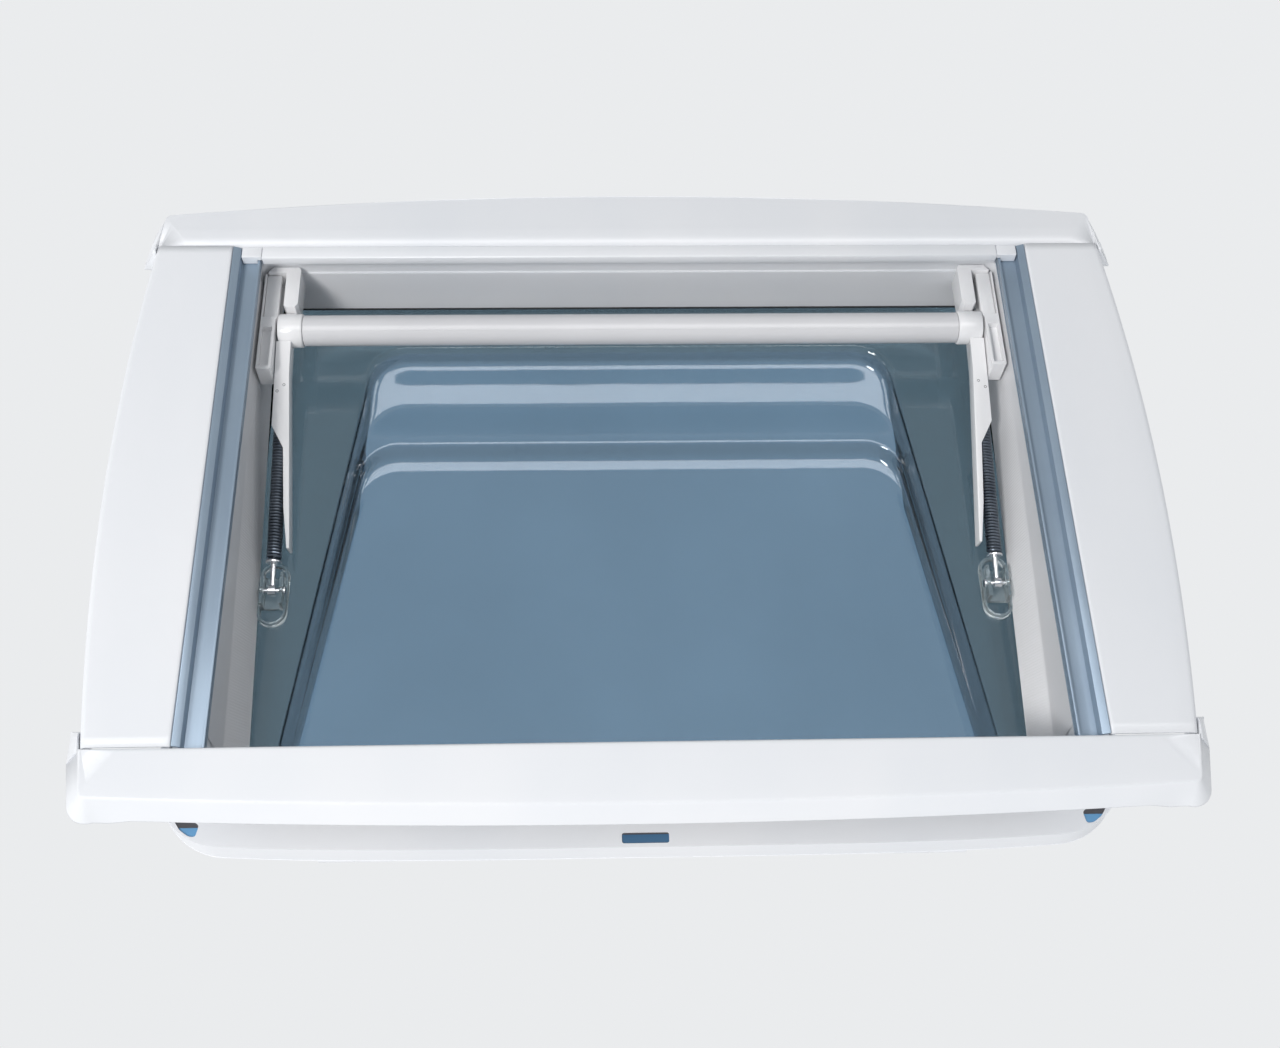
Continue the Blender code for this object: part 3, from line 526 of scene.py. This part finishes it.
def cover(name, sign, path, depth, face_height, roll_foot):
    """One end cover: a leaning skirt, a rounded edge and a face that rolls in to the opening."""
    normals = outward(path)
    total = sum((b - a).length for a, b in zip(path, path[1:]))
    inner, done = [], 0.0
    half = path[0].x
    for index, point in enumerate(path):
        if index:
            done += (point - path[index - 1]).length
        inner.append(Vector((half * (1 - 2 * done / total), SEAM_Y)))
    rows = []
    for part in (1, 0.97, 0.7, 0.4, 0.15, 0.09):
        rows.append([place_on(point, normal, part, depth(point.x) * part)
                     for point, normal in zip(path, normals)])
    edge = 2.6 * MM
    for turn in (30, 60, 90):
        angle = math.radians(turn)
        inset, drop = edge * (1 - math.cos(angle)), edge * (1 - math.sin(angle))
        row = []
        for point, normal in zip(path, normals):
            spot = point + normal * (0.09 * lean(normal) - inset)
            row.append(Vector((spot.x, spot.y, max(drop, face_height(spot.y)))))
        rows.append(row)
    last = rows[-1]
    for part in (0.15, 0.3, 0.42, 0.5, 0.56, 0.62, 0.68, 0.74,
                 0.79, 0.84, 0.88, 0.91, 0.94, 0.965, 0.985, 1):
        row = []
        for start, stop in zip(last, inner):
            x = start.x + (stop.x - start.x) * part
            y = start.y + (stop.y - start.y) * part
            row.append(Vector((x, y, face_height(y))))
        rows.append(row)
    rows.append([Vector((point.x, SEAM_Y, roll_foot)) for point in inner])
    for row in rows:
        for point in row:
            point.y *= sign
    bm = skin(rows)
    face = min(bm.faces, key=lambda f: (f.calc_center_median() - Vector((0, sign * 270 * MM, 0))).length)
    if face.normal.z > 0:
        bmesh.ops.reverse_faces(bm, faces=bm.faces)
    piece = as_piece(name + "_fine", bm, "frame", "white_plastic", (name,), angle=50)
    return thicken(piece, MOULDING_T)


def lean(normal):
    return FLARE_BOW + (FLARE_END - FLARE_BOW) * abs(normal.x)


def place_on(point, normal, part, z):
    spot = point + normal * lean(normal) * part
    return Vector((spot.x, spot.y, z))


def rolled_edge(y):
    """Height of the opening side's face: flat, then a full rounded lip beside the opening."""
    inside = y - SEAM_Y
    flat = 0.5 * MM
    if inside > 22 * MM:
        return flat + (inside - 22 * MM) * 0.07
    if inside > 17 * MM:
        t = (22 * MM - inside) / (5 * MM)
        return flat * (1 - t * t * (3 - 2 * t))
    if inside > 9 * MM:
        return 0.0
    reach = 10 * MM
    return reach - math.sqrt(reach ** 2 - (9 * MM - inside) ** 2)


def plain_edge(y):
    """Height of the hinge side's face, with a small radius beside the opening."""
    inside = y - SEAM_Y
    radius = 2.5 * MM
    if inside > radius:
        return 0.3 * MM
    return 0.3 * MM + radius - math.sqrt(max(radius ** 2 - (radius - inside) ** 2, 0))


def inner_frame():
    low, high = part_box("cover_opening_side")
    half = high.x - FLARE_END
    edge = -low.y - FLARE_BOW
    skirt = high.z
    path = bowed(half, edge, half - 6 * MM, edge - 22 * MM)
    cover("cover_opening_side", -1, path, lambda x: skirt, rolled_edge, 9.5 * MM)
    low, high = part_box("cover_hinge_side")
    edge = high.y - FLARE_BOW
    path = bowed(half, edge, half - 6 * MM, edge - 10.5 * MM)

    def notched(x):
        t = min(max((abs(x) - NOTCH_X) / (5 * MM), 0), 1)
        return skirt - NOTCH * (1 - t)

    cover("cover_hinge_side", 1, path, notched, plain_edge, 8 * MM)
    for side, sign in SIDES.items():
        side_rail(side, sign, half)
        for end in (-1, 1):
            end_wrap(side, sign, end, half, skirt)


def rail_x(half, y):
    return half + RAIL_BOW * (1 - (y / SEAM_Y) ** 2)


def side_rail(side, sign, half):
    """Flat bowed rail with a rounded outer edge, beside the blind track."""
    name = f"side_rail_{side}"
    inner = min(abs(corner.x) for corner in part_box(name))
    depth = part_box(name)[1].z
    reach = SEAM_Y - 0.7 * MM
    rows = []
    for step in range(57):
        y = -reach + 2 * reach * step / 56
        out = rail_x(half, y)
        section = [(out - 0.4 * MM, depth), (out, depth * 0.5), (out, 6 * MM)]
        for turn in range(0, 91, 15):
            angle = math.radians(turn)
            section.append((out - 6 * MM * (1 - math.cos(angle)), 6 * MM * (1 - math.sin(angle))))
        section += [(out - 20 * MM, 0), (inner + 12 * MM, 0), (inner + 3 * MM, 0.0)]
        section += [(inner + 1.2 * MM, 0.15 * MM), (inner + 0.3 * MM, 0.7 * MM),
                    (inner, 1.8 * MM), (inner, 8 * MM)]
        rows.append([Vector((sign * x, y, z)) for x, z in section])
    bm = skin(rows)
    face = min(bm.faces, key=lambda f: (f.calc_center_median() - Vector((sign * 400 * MM, 0, 0))).length)
    if face.normal.z > 0:
        bmesh.ops.reverse_faces(bm, faces=bm.faces)
    piece = as_piece(name + "_fine", bm, "frame", "white_plastic", (name,), angle=50)
    return thicken(piece, MOULDING_T)


def end_wrap(side, sign, end, half, skirt):
    """The tab that carries a cover's skirt round the end of the side rail."""
    rows = []
    reach = (24 if end > 0 else 8) * MM
    for step in range(13):
        t = step / 12
        y = SEAM_Y - reach + (reach + 3 * MM) * t
        shrink = 2.5 * MM * (1 - min(t * 6, 1)) ** 2
        out = rail_x(half, y)
        low, high = 3 * MM + shrink, skirt - 0.6 * MM - shrink
        outer_low, outer_high = half + 3.4 * MM, half + FLARE_END - 0.4 * MM
        section = [Vector((out + 0.5 * MM, low)), Vector((outer_low, low)),
                   Vector((outer_high, high)), Vector((out + 0.5 * MM, high))]
        ring = eased(section, 1.2 * MM, 4, closed=True)
        hang = reach * 0.5 * (1 - t)
        rows.append([Vector((sign * p.x, end * (y + hang * (1 - p.y / skirt)), p.y)) for p in ring])
    name = "opening" if end < 0 else "hinge"
    as_piece(f"cover_{name}_wrap_{side}", skin(rows, ring=True, caps=(True, True)), "frame", "white_plastic")


# ---------------------------------------------------------------- outer frame

def outer_frame():
    """Upstand, flange and raised rim as one moulding, with its finger slot and corner vents."""
    low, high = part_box("outer_frame")
    wall_x, wall_y = 340.8 * MM, 239.6 * MM
    wall, thin = 2.6 * MM, 3 * MM
    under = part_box("roof_gasket")[1].z + 0.3 * MM
    over = under + thin
    rim_x, rim_y, rim_z = high.x, high.y, 84 * MM
    foot = 23.6 * MM
    section = [
        (wall_x, wall_y + 0.6 * MM, 12 * MM, foot), (wall_x, wall_y + 0.6 * MM, 12 * MM, 40 * MM),
        (wall_x, wall_y, 12 * MM, 41.5 * MM),
        (wall_x, wall_y, 12 * MM, high.z), (wall_x + wall, wall_y + wall, 14.6 * MM, high.z),
        (wall_x + wall, wall_y + wall + 0.6 * MM, 14.6 * MM, over),
        (rim_x - 4.5 * MM, rim_y - 4 * MM, 50 * MM, over),
        (rim_x - 2.5 * MM, rim_y - 2.5 * MM, 52 * MM, rim_z), (rim_x, rim_y, 54 * MM, rim_z),
        (rim_x - 2 * MM, rim_y - 2.5 * MM, 52 * MM, under),
        (wall_x + wall, wall_y + wall + 1 * MM, 14.6 * MM, under),
        (wall_x + wall, wall_y + wall + 1 * MM, 14.6 * MM, foot)]
    rounded = eased([Vector(row) for row in section], 1.1 * MM, 3, closed=True)
    rings = []
    for x, y, radius, z in rounded:
        ring = rounded_ring(-y, y, x, x, radius, z, 16)
        share = min(max((y - wall_y - 4 * MM) / (rim_y - wall_y - 4 * MM), 0), 1)
        start, stop = ring[16], ring[17]
        ring[17:17] = [start.lerp(stop, part / 24) for part in range(1, 24)]
        for point in ring:
            if point.y > 0:
                point.y -= RIM_BOW * share * (point.x / rim_x) ** 4 * min(point.y / (200 * MM), 1)
        for point in ring:
            if point.y < -wall_y + 4 * MM and abs(point.x) < wall_x - 11 * MM and z < 30 * MM:
                point.z = z - (foot - low.z)
        rings.append(ring)
    piece = as_piece("outer_frame_fine", skin(rings, ring=True, closed=True), "frame", "white_plastic",
                     ("outer_frame",), angle=40)
    slot = [Vector(p) * MM for p in ((-18.5, 293.5), (18.5, 293.5), (18.5, 302), (-18.5, 302))]
    vent = [Vector(p) * MM for p in ((366, 270), (347.5, 282), (349.5, 291.5), (355, 291),
                                     (362.5, 285.5), (370, 274))]
    outlines = [eased(slot, 2 * MM, 4, closed=True), eased(vent, 2.5 * MM, 4, closed=True),
                eased([Vector((-p.x, p.y)) for p in vent], 2.5 * MM, 4, closed=True)]
    cut_out(piece, outlines, under - 3 * MM, over + 3 * MM)
    backed("finger_slot", outlines[0], under + 1.2 * MM, "deep_screen")
    backed("vent_right", outlines[1], under + 1.2 * MM, "blue_screen")
    backed("vent_left", outlines[2], under + 1.2 * MM, "blue_screen")


def backed(name, outline, z, finish):
    """A blue screen behind an opening in the flange, with a near-black strip of painted shade along its
    inner side.
    """
    centre = sum(outline, Vector((0, 0))) / len(outline)
    grown = [centre + (p - centre) * 1.06 for p in outline]
    split = centre.y + (1.5 if finish == "blue_screen" else -3) * MM
    rings = [[Vector((p.x, p.y, z + lift * MM)) for p in grown] for lift in (0, 1)]
    as_piece(name + "_screen", skin(rings, ring=True, caps=(True, True)), "frame", "wall_plastic",
             finish=finish)
    # Painted shade: a near-black strip over the screen's inner part, where the opening's edge shades it.
    shaded_outline = [Vector((p.x, min(p.y, split))) for p in grown]
    rings = [[Vector((p.x, p.y, z - lift * MM)) for p in shaded_outline] for lift in (0.1, 0.6)]
    bm = skin(rings, ring=True, caps=(True, True))
    bmesh.ops.remove_doubles(bm, verts=bm.verts, dist=0.05 * MM)
    as_piece(name + "_edge_shade", bm, "frame", "rubber", finish="recess_shade")


def side_liners():
    """Trim strips that lean in from the upstand: smooth at the foot, then finely ribbed."""
    for side, sign in SIDES.items():
        name = f"side_liner_{side}"
        low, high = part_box(name)
        reach = high.y
        outer = max(abs(low.x), abs(high.x))
        rows = []
        ribs = 176
        steps = ribs * 4
        for step in range(steps + 1):
            y = -reach + 2 * reach * step / steps
            wave = 0.28 * MM * (0.5 - 0.5 * math.cos(2 * math.pi * step / 4))
            shoulder = 53.5 * MM + 0.113 * y
            top_x = 330 * MM - 0.036 * y
            top_z = high.z
            section = [(outer - 0.2 * MM, low.z), (outer - 0.2 * MM, shoulder - 3 * MM),
                       (outer - 0.4 * MM, shoulder - 1.2 * MM)]
            for part in (0.02, 0.08, 0.5, 0.9, 0.96):
                x = outer - 0.4 * MM + (top_x - outer) * part
                z = shoulder + (top_z - shoulder) * part
                fade = 0 if part in (0.02, 0.96) else 1
                section.append((x - wave * fade, z))
            section += [(top_x, top_z - 0.8 * MM), (top_x + 0.3 * MM, top_z), (top_x + 1.8 * MM, top_z)]
            rows.append([Vector((sign * x, y, z)) for x, z in section])
        bm = skin(rows)
        face = max(bm.faces, key=lambda f: f.calc_area())
        if face.normal.x * sign > 0:
            bmesh.ops.reverse_faces(bm, faces=bm.faces)
        as_piece(name + "_fine", bm, "frame", "wall_plastic", (name,), angle=60)


def seals():
    low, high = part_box("dome_seal")
    radius = (high.z - low.z) / 2
    half_x, half_y = high.x - radius, high.y - radius
    ring = rounded_ring(-half_y, half_y, half_x, half_x, 12 * MM, low.z + radius, 14)
    as_piece("dome_seal_fine", swept(ring, radius, 14, cyclic=True), "frame", "rubber", ("dome_seal",))
    refined("roof_gasket", 0.4 * MM, 2)


# ---------------------------------------------------------------- dome

def pan_half(y):
    """Half width of the inner pan at its foot, which widens towards the hinges."""
    return 281 * MM + 0.121 * (y - 69 * MM)


def dome():
    """The stepped inner skin, the smooth outer skin, and the dark bonded band between their flanges, whose
    darkness is painted shade.
    """
    low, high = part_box("dome_inner_skin")
    skin_t = 2.5 * MM
    near = 236 * MM
    steps = ((-201, 0, -4), (-198.5, 0.3, -2), (-196, 1.6, -0.4), (-193.5, 5, 0.5), (-189.5, 11.5, 1.6),
             (-184.5, 15, 2.8), (-177, 18.2, 3.8), (-166, 22, 4.7), (-154, 26.1, 5.3),
             (-147, 27.9, 5.6), (-139, 28.7, 5.8), (-124, 29.1, 5.9), (-112, 29.4, 6.2),
             (-108.5, 30.2, 6.6), (-105.8, 32.4, 7), (-100, 38.4, 8.6), (-95, 41.6, 9.8),
             (-88, 44, 11.4), (-81, 45.3, 13), (-74, 45.7, 15), (-66, 45.8, 19))
    profile = [Vector((far * MM, height * MM, inset * MM)) for far, height, inset in steps]
    floor = low.z + skin_t
    flange = [(low.y, high.y, high.x, 30 * MM, low.z + 0.6 * MM), (low.y + 0.6 * MM, high.y - 0.6 * MM,
                                                             high.x - 0.6 * MM, 29.4 * MM, floor)]
    rings = [rounded_ring(a, b, half, half, radius, z, 20) for a, b, half, radius, z in flange]
    for far, height, inset in flowing(profile, 6):
        near_y = near - inset
        side = inset * (0.45 if inset > 0 else 1)
        rings.append(rounded_ring(far, near_y, pan_half(far) - side, pan_half(near_y) - side,
                                  38 * MM, floor + height, 20))
    bm = skin(rings, ring=True, caps=(False, True))
    top = max(bm.faces, key=lambda f: f.calc_area())
    if top.normal.z < 0:
        bmesh.ops.reverse_faces(bm, faces=bm.faces)
    piece = as_piece("dome_inner_skin_fine", bm, "dome", "tinted_acrylic", ("dome_inner_skin",), angle=60)
    thicken(piece, skin_t)
    outer_skin(skin_t)
    bond_shade_band()


def outer_skin(skin_t):
    low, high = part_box("dome_outer_skin")
    edge_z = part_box("dome_inner_skin")[0].z + skin_t + 0.4 * MM
    skirt = rounded_ring(low.y, high.y, high.x, high.x, 50 * MM, edge_z, 20)
    for point in skirt:
        fade = min(max((point.y - 120 * MM) / (120 * MM), 0), 1)
        point.z = low.z + (edge_z - low.z) * fade
    shoulder = rounded_ring(low.y + 0.4 * MM, high.y - 0.4 * MM, high.x - 0.4 * MM, high.x - 0.4 * MM,
                            49.6 * MM, edge_z + 1.2 * MM, 20)
    rings = [skirt, shoulder]
    steps = ((2, 0), (8, 0.3), (42, 0.7), (47, 2), (50.5, 6), (54, 14), (59, 28), (64, 37), (72, 43),
             (84, 47), (104, 50), (130, 52), (170, 52.4), (215, 52.5))
    profile = [Vector((inset * MM, height * MM)) for inset, height in steps]
    for reach, height in flowing(profile, 4):
        rings.append(rounded_ring(low.y + reach, high.y - reach * 0.72, high.x - reach, high.x - reach,
                                  50 * MM + reach / 4, edge_z + skin_t + height - 0.3 * MM, 20))
    bm = skin(rings, ring=True, caps=(False, True))
    top = max(bm.faces, key=lambda f: f.calc_area())
    if top.normal.z < 0:
        bmesh.ops.reverse_faces(bm, faces=bm.faces)
    piece = as_piece("dome_outer_skin_fine", bm, "dome", "tinted_acrylic", ("dome_outer_skin",),
                     "outer_acrylic", 60)
    thicken(piece, skin_t)


def bond_shade_band():
    """A dark band where the two skins are bonded round their flanges; its darkness is painted shade on the
    flanges.
    """
    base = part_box("dome_inner_skin")[0].z + 2.65 * MM
    outer = rounded_ring(-258 * MM, 280 * MM, 348 * MM, 348 * MM, 28 * MM, base, 20)
    inner = rounded_ring(-244 * MM, 266 * MM, 334 * MM, 334 * MM, 20 * MM, base, 20)
    rows = [inner, outer, [p + Vector((0, 0, 0.2 * MM)) for p in outer],
            [p + Vector((0, 0, 0.2 * MM)) for p in inner]]
    as_piece("dome_bond_shade_band", skin(rows, ring=True, closed=True), "dome", "rubber")


# ---------------------------------------------------------------- bar, arms and springs

def bar_axis():
    low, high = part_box("handle_tube")
    return (low + high) / 2, (high.z - low.z) / 2, high.x


def pivot_line():
    low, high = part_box("clevis_pin_right")
    return (low + high) / 2


def arm_frame(sign):
    """Matrix of an arm: local x across, local y from the pivot to the bar."""
    bar, _radius, _reach = bar_axis()
    pivot = pivot_line()
    along = Vector((0, bar.y - pivot.y, bar.z - pivot.z)).normalized()
    across = Vector((sign, 0, 0))
    up = across.cross(along)
    matrix = Matrix((across, along, up)).transposed().to_4x4()
    matrix.translation = (0, pivot.y, pivot.z)
    return matrix


def handle_bar():
    """Tube with turned ends, two moulding lines along it, and a sleeve at each end."""
    centre, radius, reach = bar_axis()
    profile = [(0, radius - 1.5 * MM), (0, radius - 0.5 * MM), (0.4 * MM, radius),
               (reach, radius), (2 * reach - 0.4 * MM, radius), (2 * reach, radius - 0.5 * MM),
               (2 * reach, radius - 1.5 * MM)]
    bm = turned(profile, centre - Vector((reach, 0, 0)), Vector((1, 0, 0)), 64)
    for lift in (35, -150):
        angle = math.radians(lift - 90)
        spot = centre + Vector((0, math.cos(angle), math.sin(angle))) * (radius - 0.25 * MM)
        swept([spot - Vector((reach - 1 * MM, 0, 0)), spot + Vector((reach - 1 * MM, 0, 0))],
              0.45 * MM, 8, bm=bm)
    as_piece("handle_tube_fine", bm, "handle_bail", "white_plastic", ("handle_tube",), "tube_white")
    for side, sign in SIDES.items():
        low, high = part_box(f"sleeve_{side}")
        outer = (high.z - low.z) / 2
        width = high.x - low.x
        start = Vector((sign * min(abs(low.x), abs(high.x)), centre.y, centre.z))
        ease = 1.2 * MM
        profile = [(0, outer - 2.2 * MM), (0, outer - ease), (0.35 * ease, outer - 0.35 * ease),
                   (ease, outer), (width * 0.4, outer), (width - ease, outer),
                   (width - 0.3 * ease, outer - 0.35 * ease), (width, outer - ease),
                   (width, outer - 8 * MM)]
        as_piece(f"sleeve_{side}_fine", turned(profile, start, Vector((sign, 0, 0)), 64), "handle_bail",
                 "white_plastic", (f"sleeve_{side}",), "gloss_white")
        refined(f"arm_{side}", 1.3 * MM, 4, "gloss_white")
        arm_details(side, sign)
        spring_rod(side, sign)


def arm_details(side, sign):
    """Two small recessed screws near the bar, on the face towards the room, near-black as painted shade in
    their recesses.
    """
    matrix = arm_frame(sign)
    bm = bmesh.new()
    for x, y in ((313.5, 189), (319.3, 183)):
        spot = matrix @ Vector((x * MM, y * MM, 8 * MM * sign))
        out = (matrix.to_3x3() @ Vector((0, 0, sign))).normalized()
        profile = [(-0.5 * MM, 1.3 * MM), (0.05 * MM, 1.3 * MM), (0.1 * MM, 1.0 * MM), (-0.3 * MM, 0.5 * MM)]
        turned(profile, spot, out, 20, bm=bm)
    # Painted shade: the screw heads take the near-black of a recess.
    as_piece(f"arm_screws_{side}", bm, "handle_bail", "bright_steel", finish="recess_shade")


def spring_rod(side, sign):
    """Rod with an eye, its seat, and the coil spring that stretches between rod and bar."""
    matrix = arm_frame(sign)
    rod_low, rod_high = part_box(f"spring_rod_{side}")
    x = abs((rod_low.x + rod_high.x) / 2)
    along = matrix.to_3x3() @ Vector((0, 1, 0))
    pivot = Vector((sign * x, matrix.translation.y, matrix.translation.z))
    bm = turned([(0, 2.2 * MM), (155 * MM, 2.2 * MM), (158 * MM, 1.6 * MM)],
                pivot + along * 3.8 * MM, along, 24)
    eye = [(0, 2.7 * MM), (0, 4.4 * MM), (0.5 * MM, 5 * MM), (6.5 * MM, 5 * MM),
           (7 * MM, 4.4 * MM), (7 * MM, 2.7 * MM)]
    turned(eye, pivot - Vector((3.5 * MM, 0, 0)), Vector((1, 0, 0)), 32, bm=bm)
    as_piece(f"spring_rod_{side}_fine", bm, "spring_rods", "bright_steel", (f"spring_rod_{side}",))
    seat = [(24.5 * MM, 3 * MM), (24.5 * MM, 6.6 * MM), (24.9 * MM, 7 * MM), (26.1 * MM, 7 * MM),
            (26.5 * MM, 6.6 * MM), (26.5 * MM, 4.5 * MM), (27.2 * MM, 4.2 * MM), (28 * MM, 4 * MM),
            (28 * MM, 3 * MM)]
    as_piece(f"spring_seat_{side}_fine", turned(seat, pivot, along, 32), "spring_rods", "bright_steel",
             (f"spring_seat_{side}",))
    start, stop, per_turn = 28.4 * MM, 152 * MM, 16
    points = []
    for step in range(SPRING_TURNS * per_turn + 1):
        t = step / (SPRING_TURNS * per_turn)
        angle = 2 * math.pi * step / per_turn
        points.append(matrix @ Vector((x + SPRING_R * math.cos(angle), start + (stop - start) * t,
                                       SPRING_R * math.sin(angle))))
    spring = as_piece(f"spring_{side}_fine", swept(points, SPRING_WIRE_R, 8), None, "spring_steel",
                      (f"spring_{side}",))
    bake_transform(spring)


def clevises():
    """Clear clevis with an oval moulded boss round it, and its headed pin."""
    for side, sign in SIDES.items():
        refined(f"clevis_{side}", 0.8 * MM, 3)
        low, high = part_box(f"clevis_{side}")
        centre = (low + high) / 2
        top = high.z
        rings = []
        for inset, z in ((0, 0), (0.2, 4.5), (1.2, 6), (2.2, 6.3), (3, 5.6), (3.4, 0)):
            width = (13 - inset) * MM
            rings.append(rounded_ring(centre.y - (29 - inset) * MM, centre.y + (31 - inset) * MM,
                                      width, width, width * 0.98, top - z * MM, 12))
            for point in rings[-1]:
                point.x += centre.x
        as_piece(f"clevis_boss_{side}", skin(rings, ring=True, closed=True), "dome", "clear_plastic")
        low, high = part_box(f"clevis_pin_{side}")
        axis = (low + high) / 2
        inner = Vector((sign * min(abs(low.x), abs(high.x)), axis.y, axis.z))
        length = high.x - low.x
        profile = [(0, 1.5 * MM), (0.1 * MM, 2.6 * MM), (0.6 * MM, 3.8 * MM), (1.2 * MM, 4 * MM),
                   (2 * MM, 3.9 * MM), (2 * MM, 2.3 * MM), (length - 0.8 * MM, 2.3 * MM),
                   (length, 1.6 * MM)]
        as_piece(f"clevis_pin_{side}_fine", turned(profile, inner, Vector((sign, 0, 0)), 32), "dome",
                 "bright_steel", (f"clevis_pin_{side}",))


# ---------------------------------------------------------------- blinds

def eased_back(share):
    """The place whose smoothstep is the given share, so that folds part evenly when pulled."""
    low, high = 0.0, 1.0
    for _step in range(40):
        middle = (low + high) / 2
        if middle * middle * (3 - 2 * middle) < share:
            low = middle
        else:
            high = middle
    return (low + high) / 2


def pleats(name, body, slot, panels):
    """A folded cloth that reaches from its fixed end to its pull bar."""
    low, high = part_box(name)
    bar_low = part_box(body_bar(body))[0]
    forward = 1 if bar_low.y > low.y else -1
    fixed = low.y if forward > 0 else high.y
    free = high.y if forward > 0 else low.y
    half = high.x - 2 * MM
    rows = []
    line = []
    for fold in range(panels + 1):
        y = fixed + (free - fixed) * eased_back(fold / panels)
        z = low.z + 0.4 * MM if fold % 2 else high.z - 0.4 * MM
        line.append(Vector((y, z)))
    columns = 24
    for y, z in line:
        rows.append([Vector((-half + 2 * half * step / columns, y, z)) for step in range(columns + 1)])
    piece = as_piece(name + "_cloth", skin(rows), None, slot, (name,), angle=20)
    thicken(piece, 0.12 * MM)
    piece.modifiers["wall"].offset = 0
    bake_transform(piece)


def body_bar(body):
    return {"blackout_bar": "blackout_pull_bar", "screen_bar": "screen_pull_bar"}[body]


def blinds():
    pleats("blackout_pleats", "blackout_bar", "pleated_fabric", FOLDS)
    pleats("screen_pleats", "screen_bar", "screen_mesh", FOLDS)
    for node in ("blackout_pull_bar", "screen_pull_bar"):
        refined(node, 0.8 * MM, 3)
    for side in SIDES:
        refined(f"blackout_guide_{side}", 0.7 * MM, 3)
        refined(f"screen_guide_{side}", 0.5 * MM, 3)
        refined(f"blind_channel_{side}", 0.35 * MM, 3)


# ---------------------------------------------------------------- catches, clamps and hinges

def small_parts():
    for side in SIDES:
        refined(f"catch_housing_{side}", 1.2 * MM, 4, "gloss_white")
        refined(f"catch_lever_{side}", 0.8 * MM, 3, "gloss_white")
    for index in range(1, 7):
        refined(f"clamp_bracket_{index}", 0.4 * MM, 2)
        clamp_screw(index)
    for index in (1, 2):
        refined(f"hinge_base_{index}", 0.5 * MM, 3)
        refined(f"hinge_leaf_{index}", 0.5 * MM, 3)
        refined(f"hinge_pin_{index}", 0.4 * MM, 3)


def clamp_screw(index):
    """Pan-head screw with a small round recess, and a shank ridged like a thread."""
    name = f"clamp_screw_{index}"
    low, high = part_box(name)
    centre = (low + high) / 2
    radius = (high.x - low.x) / 2
    height = high.z - low.z
    profile = [(0, 0.7 * MM), (0.7 * MM, 0.9 * MM), (0.2 * MM, 1.4 * MM), (0.5 * MM, radius * 0.8),
               (1.2 * MM, radius), (2.2 * MM, radius), (2.2 * MM, 1.55 * MM)]
    turns = 12
    for step in range(turns):
        at = 3 * MM + (height - 4 * MM) * step / turns
        pitch = (height - 4 * MM) / turns
        profile += [(at, 1.25 * MM), (at + pitch * 0.5, 1.6 * MM)]
    profile.append((height, 0.8 * MM))
    as_piece(name + "_fine", turned(profile, Vector((centre.x, centre.y, low.z)), Vector((0, 0, 1)), 28),
             "frame", "bright_steel", (name,))


# ---------------------------------------------------------------- stage, light and camera

def surroundings():
    """Pale floor and sky, one soft light, and three cards that leave matt surfaces unlit."""
    world = bpy.data.worlds.new("studio")
    bpy.context.scene.world = world
    world.use_nodes = True
    back = world.node_tree.nodes["Background"]
    back.inputs["Color"].default_value = (0.97, 0.985, 1.0, 1)
    back.inputs["Strength"].default_value = SKY_STRENGTH
    bm = bmesh.new()
    bmesh.ops.create_grid(bm, x_segments=8, y_segments=8, size=FLOOR_HALF)
    mesh = bpy.data.meshes.new("floor")
    bm.to_mesh(mesh)
    bm.free()
    floor = bpy.data.objects.new("floor", mesh)
    floor.location.z = FLOOR_Z
    mesh.materials.append(painted("pale_floor", (0.49, 0.50, 0.51), (0.52, 0.53, 0.54), 0.7))
    bpy.context.scene.collection.objects.link(floor)
    lamp("soft_key", (-1.8, 1.9, -2.9), CAMERA_AIM, (1.0, 1.0), KEY_POWER, (1.0, 0.985, 0.97))
    cards = (((0, 0.17, -1.5), (2.2, 0.72), 20), ((-2.6, 0, -1.3), (0.8, 1.2), 12),
             ((2.6, 0, -1.3), (0.8, 1.2), 12))
    for index, (spot, size, power) in enumerate(cards):
        card = lamp(f"reflected_card_{index}", spot, Vector((0, 0, 0)), size, power, (1.0, 0.98, 0.985))
        card.visible_diffuse = False
    bpy.context.scene.view_settings.view_transform = "Standard"


def lamp(name, spot, aim, size, power, colour):
    """A soft rectangular light that the camera doesn't see."""
    data = bpy.data.lights.new(name, "AREA")
    data.shape = "RECTANGLE"
    data.size = size[0]
    data.size_y = size[1]
    data.energy = power
    data.color = colour
    made = bpy.data.objects.new(name, data)
    made.location = spot
    made.visible_camera = False
    made.rotation_mode = "QUATERNION"
    made.rotation_quaternion = (aim - Vector(spot)).to_track_quat("-Z", "Y")
    bpy.context.scene.collection.objects.link(made)
    return made


def camera():
    data = bpy.data.cameras.new("camera")
    data.lens = CAMERA_LENS
    data.sensor_width = 36
    data.clip_start = 0.01
    made = bpy.data.objects.new("camera", data)
    forward = (CAMERA_AIM - CAMERA_SPOT).normalized()
    right = forward.cross(Vector((0, -1, 0))).normalized()
    up = right.cross(forward)
    matrix = Matrix((right, up, -forward)).transposed().to_4x4()
    matrix = matrix @ Matrix.Rotation(math.radians(CAMERA_ROLL), 4, "Z")
    matrix.translation = CAMERA_SPOT
    made.matrix_world = matrix
    bpy.context.scene.collection.objects.link(made)
    bpy.context.scene.camera = made


surroundings()
camera()
inner_frame()
outer_frame()
side_liners()
seals()
dome()
handle_bar()
clevises()
blinds()
small_parts()
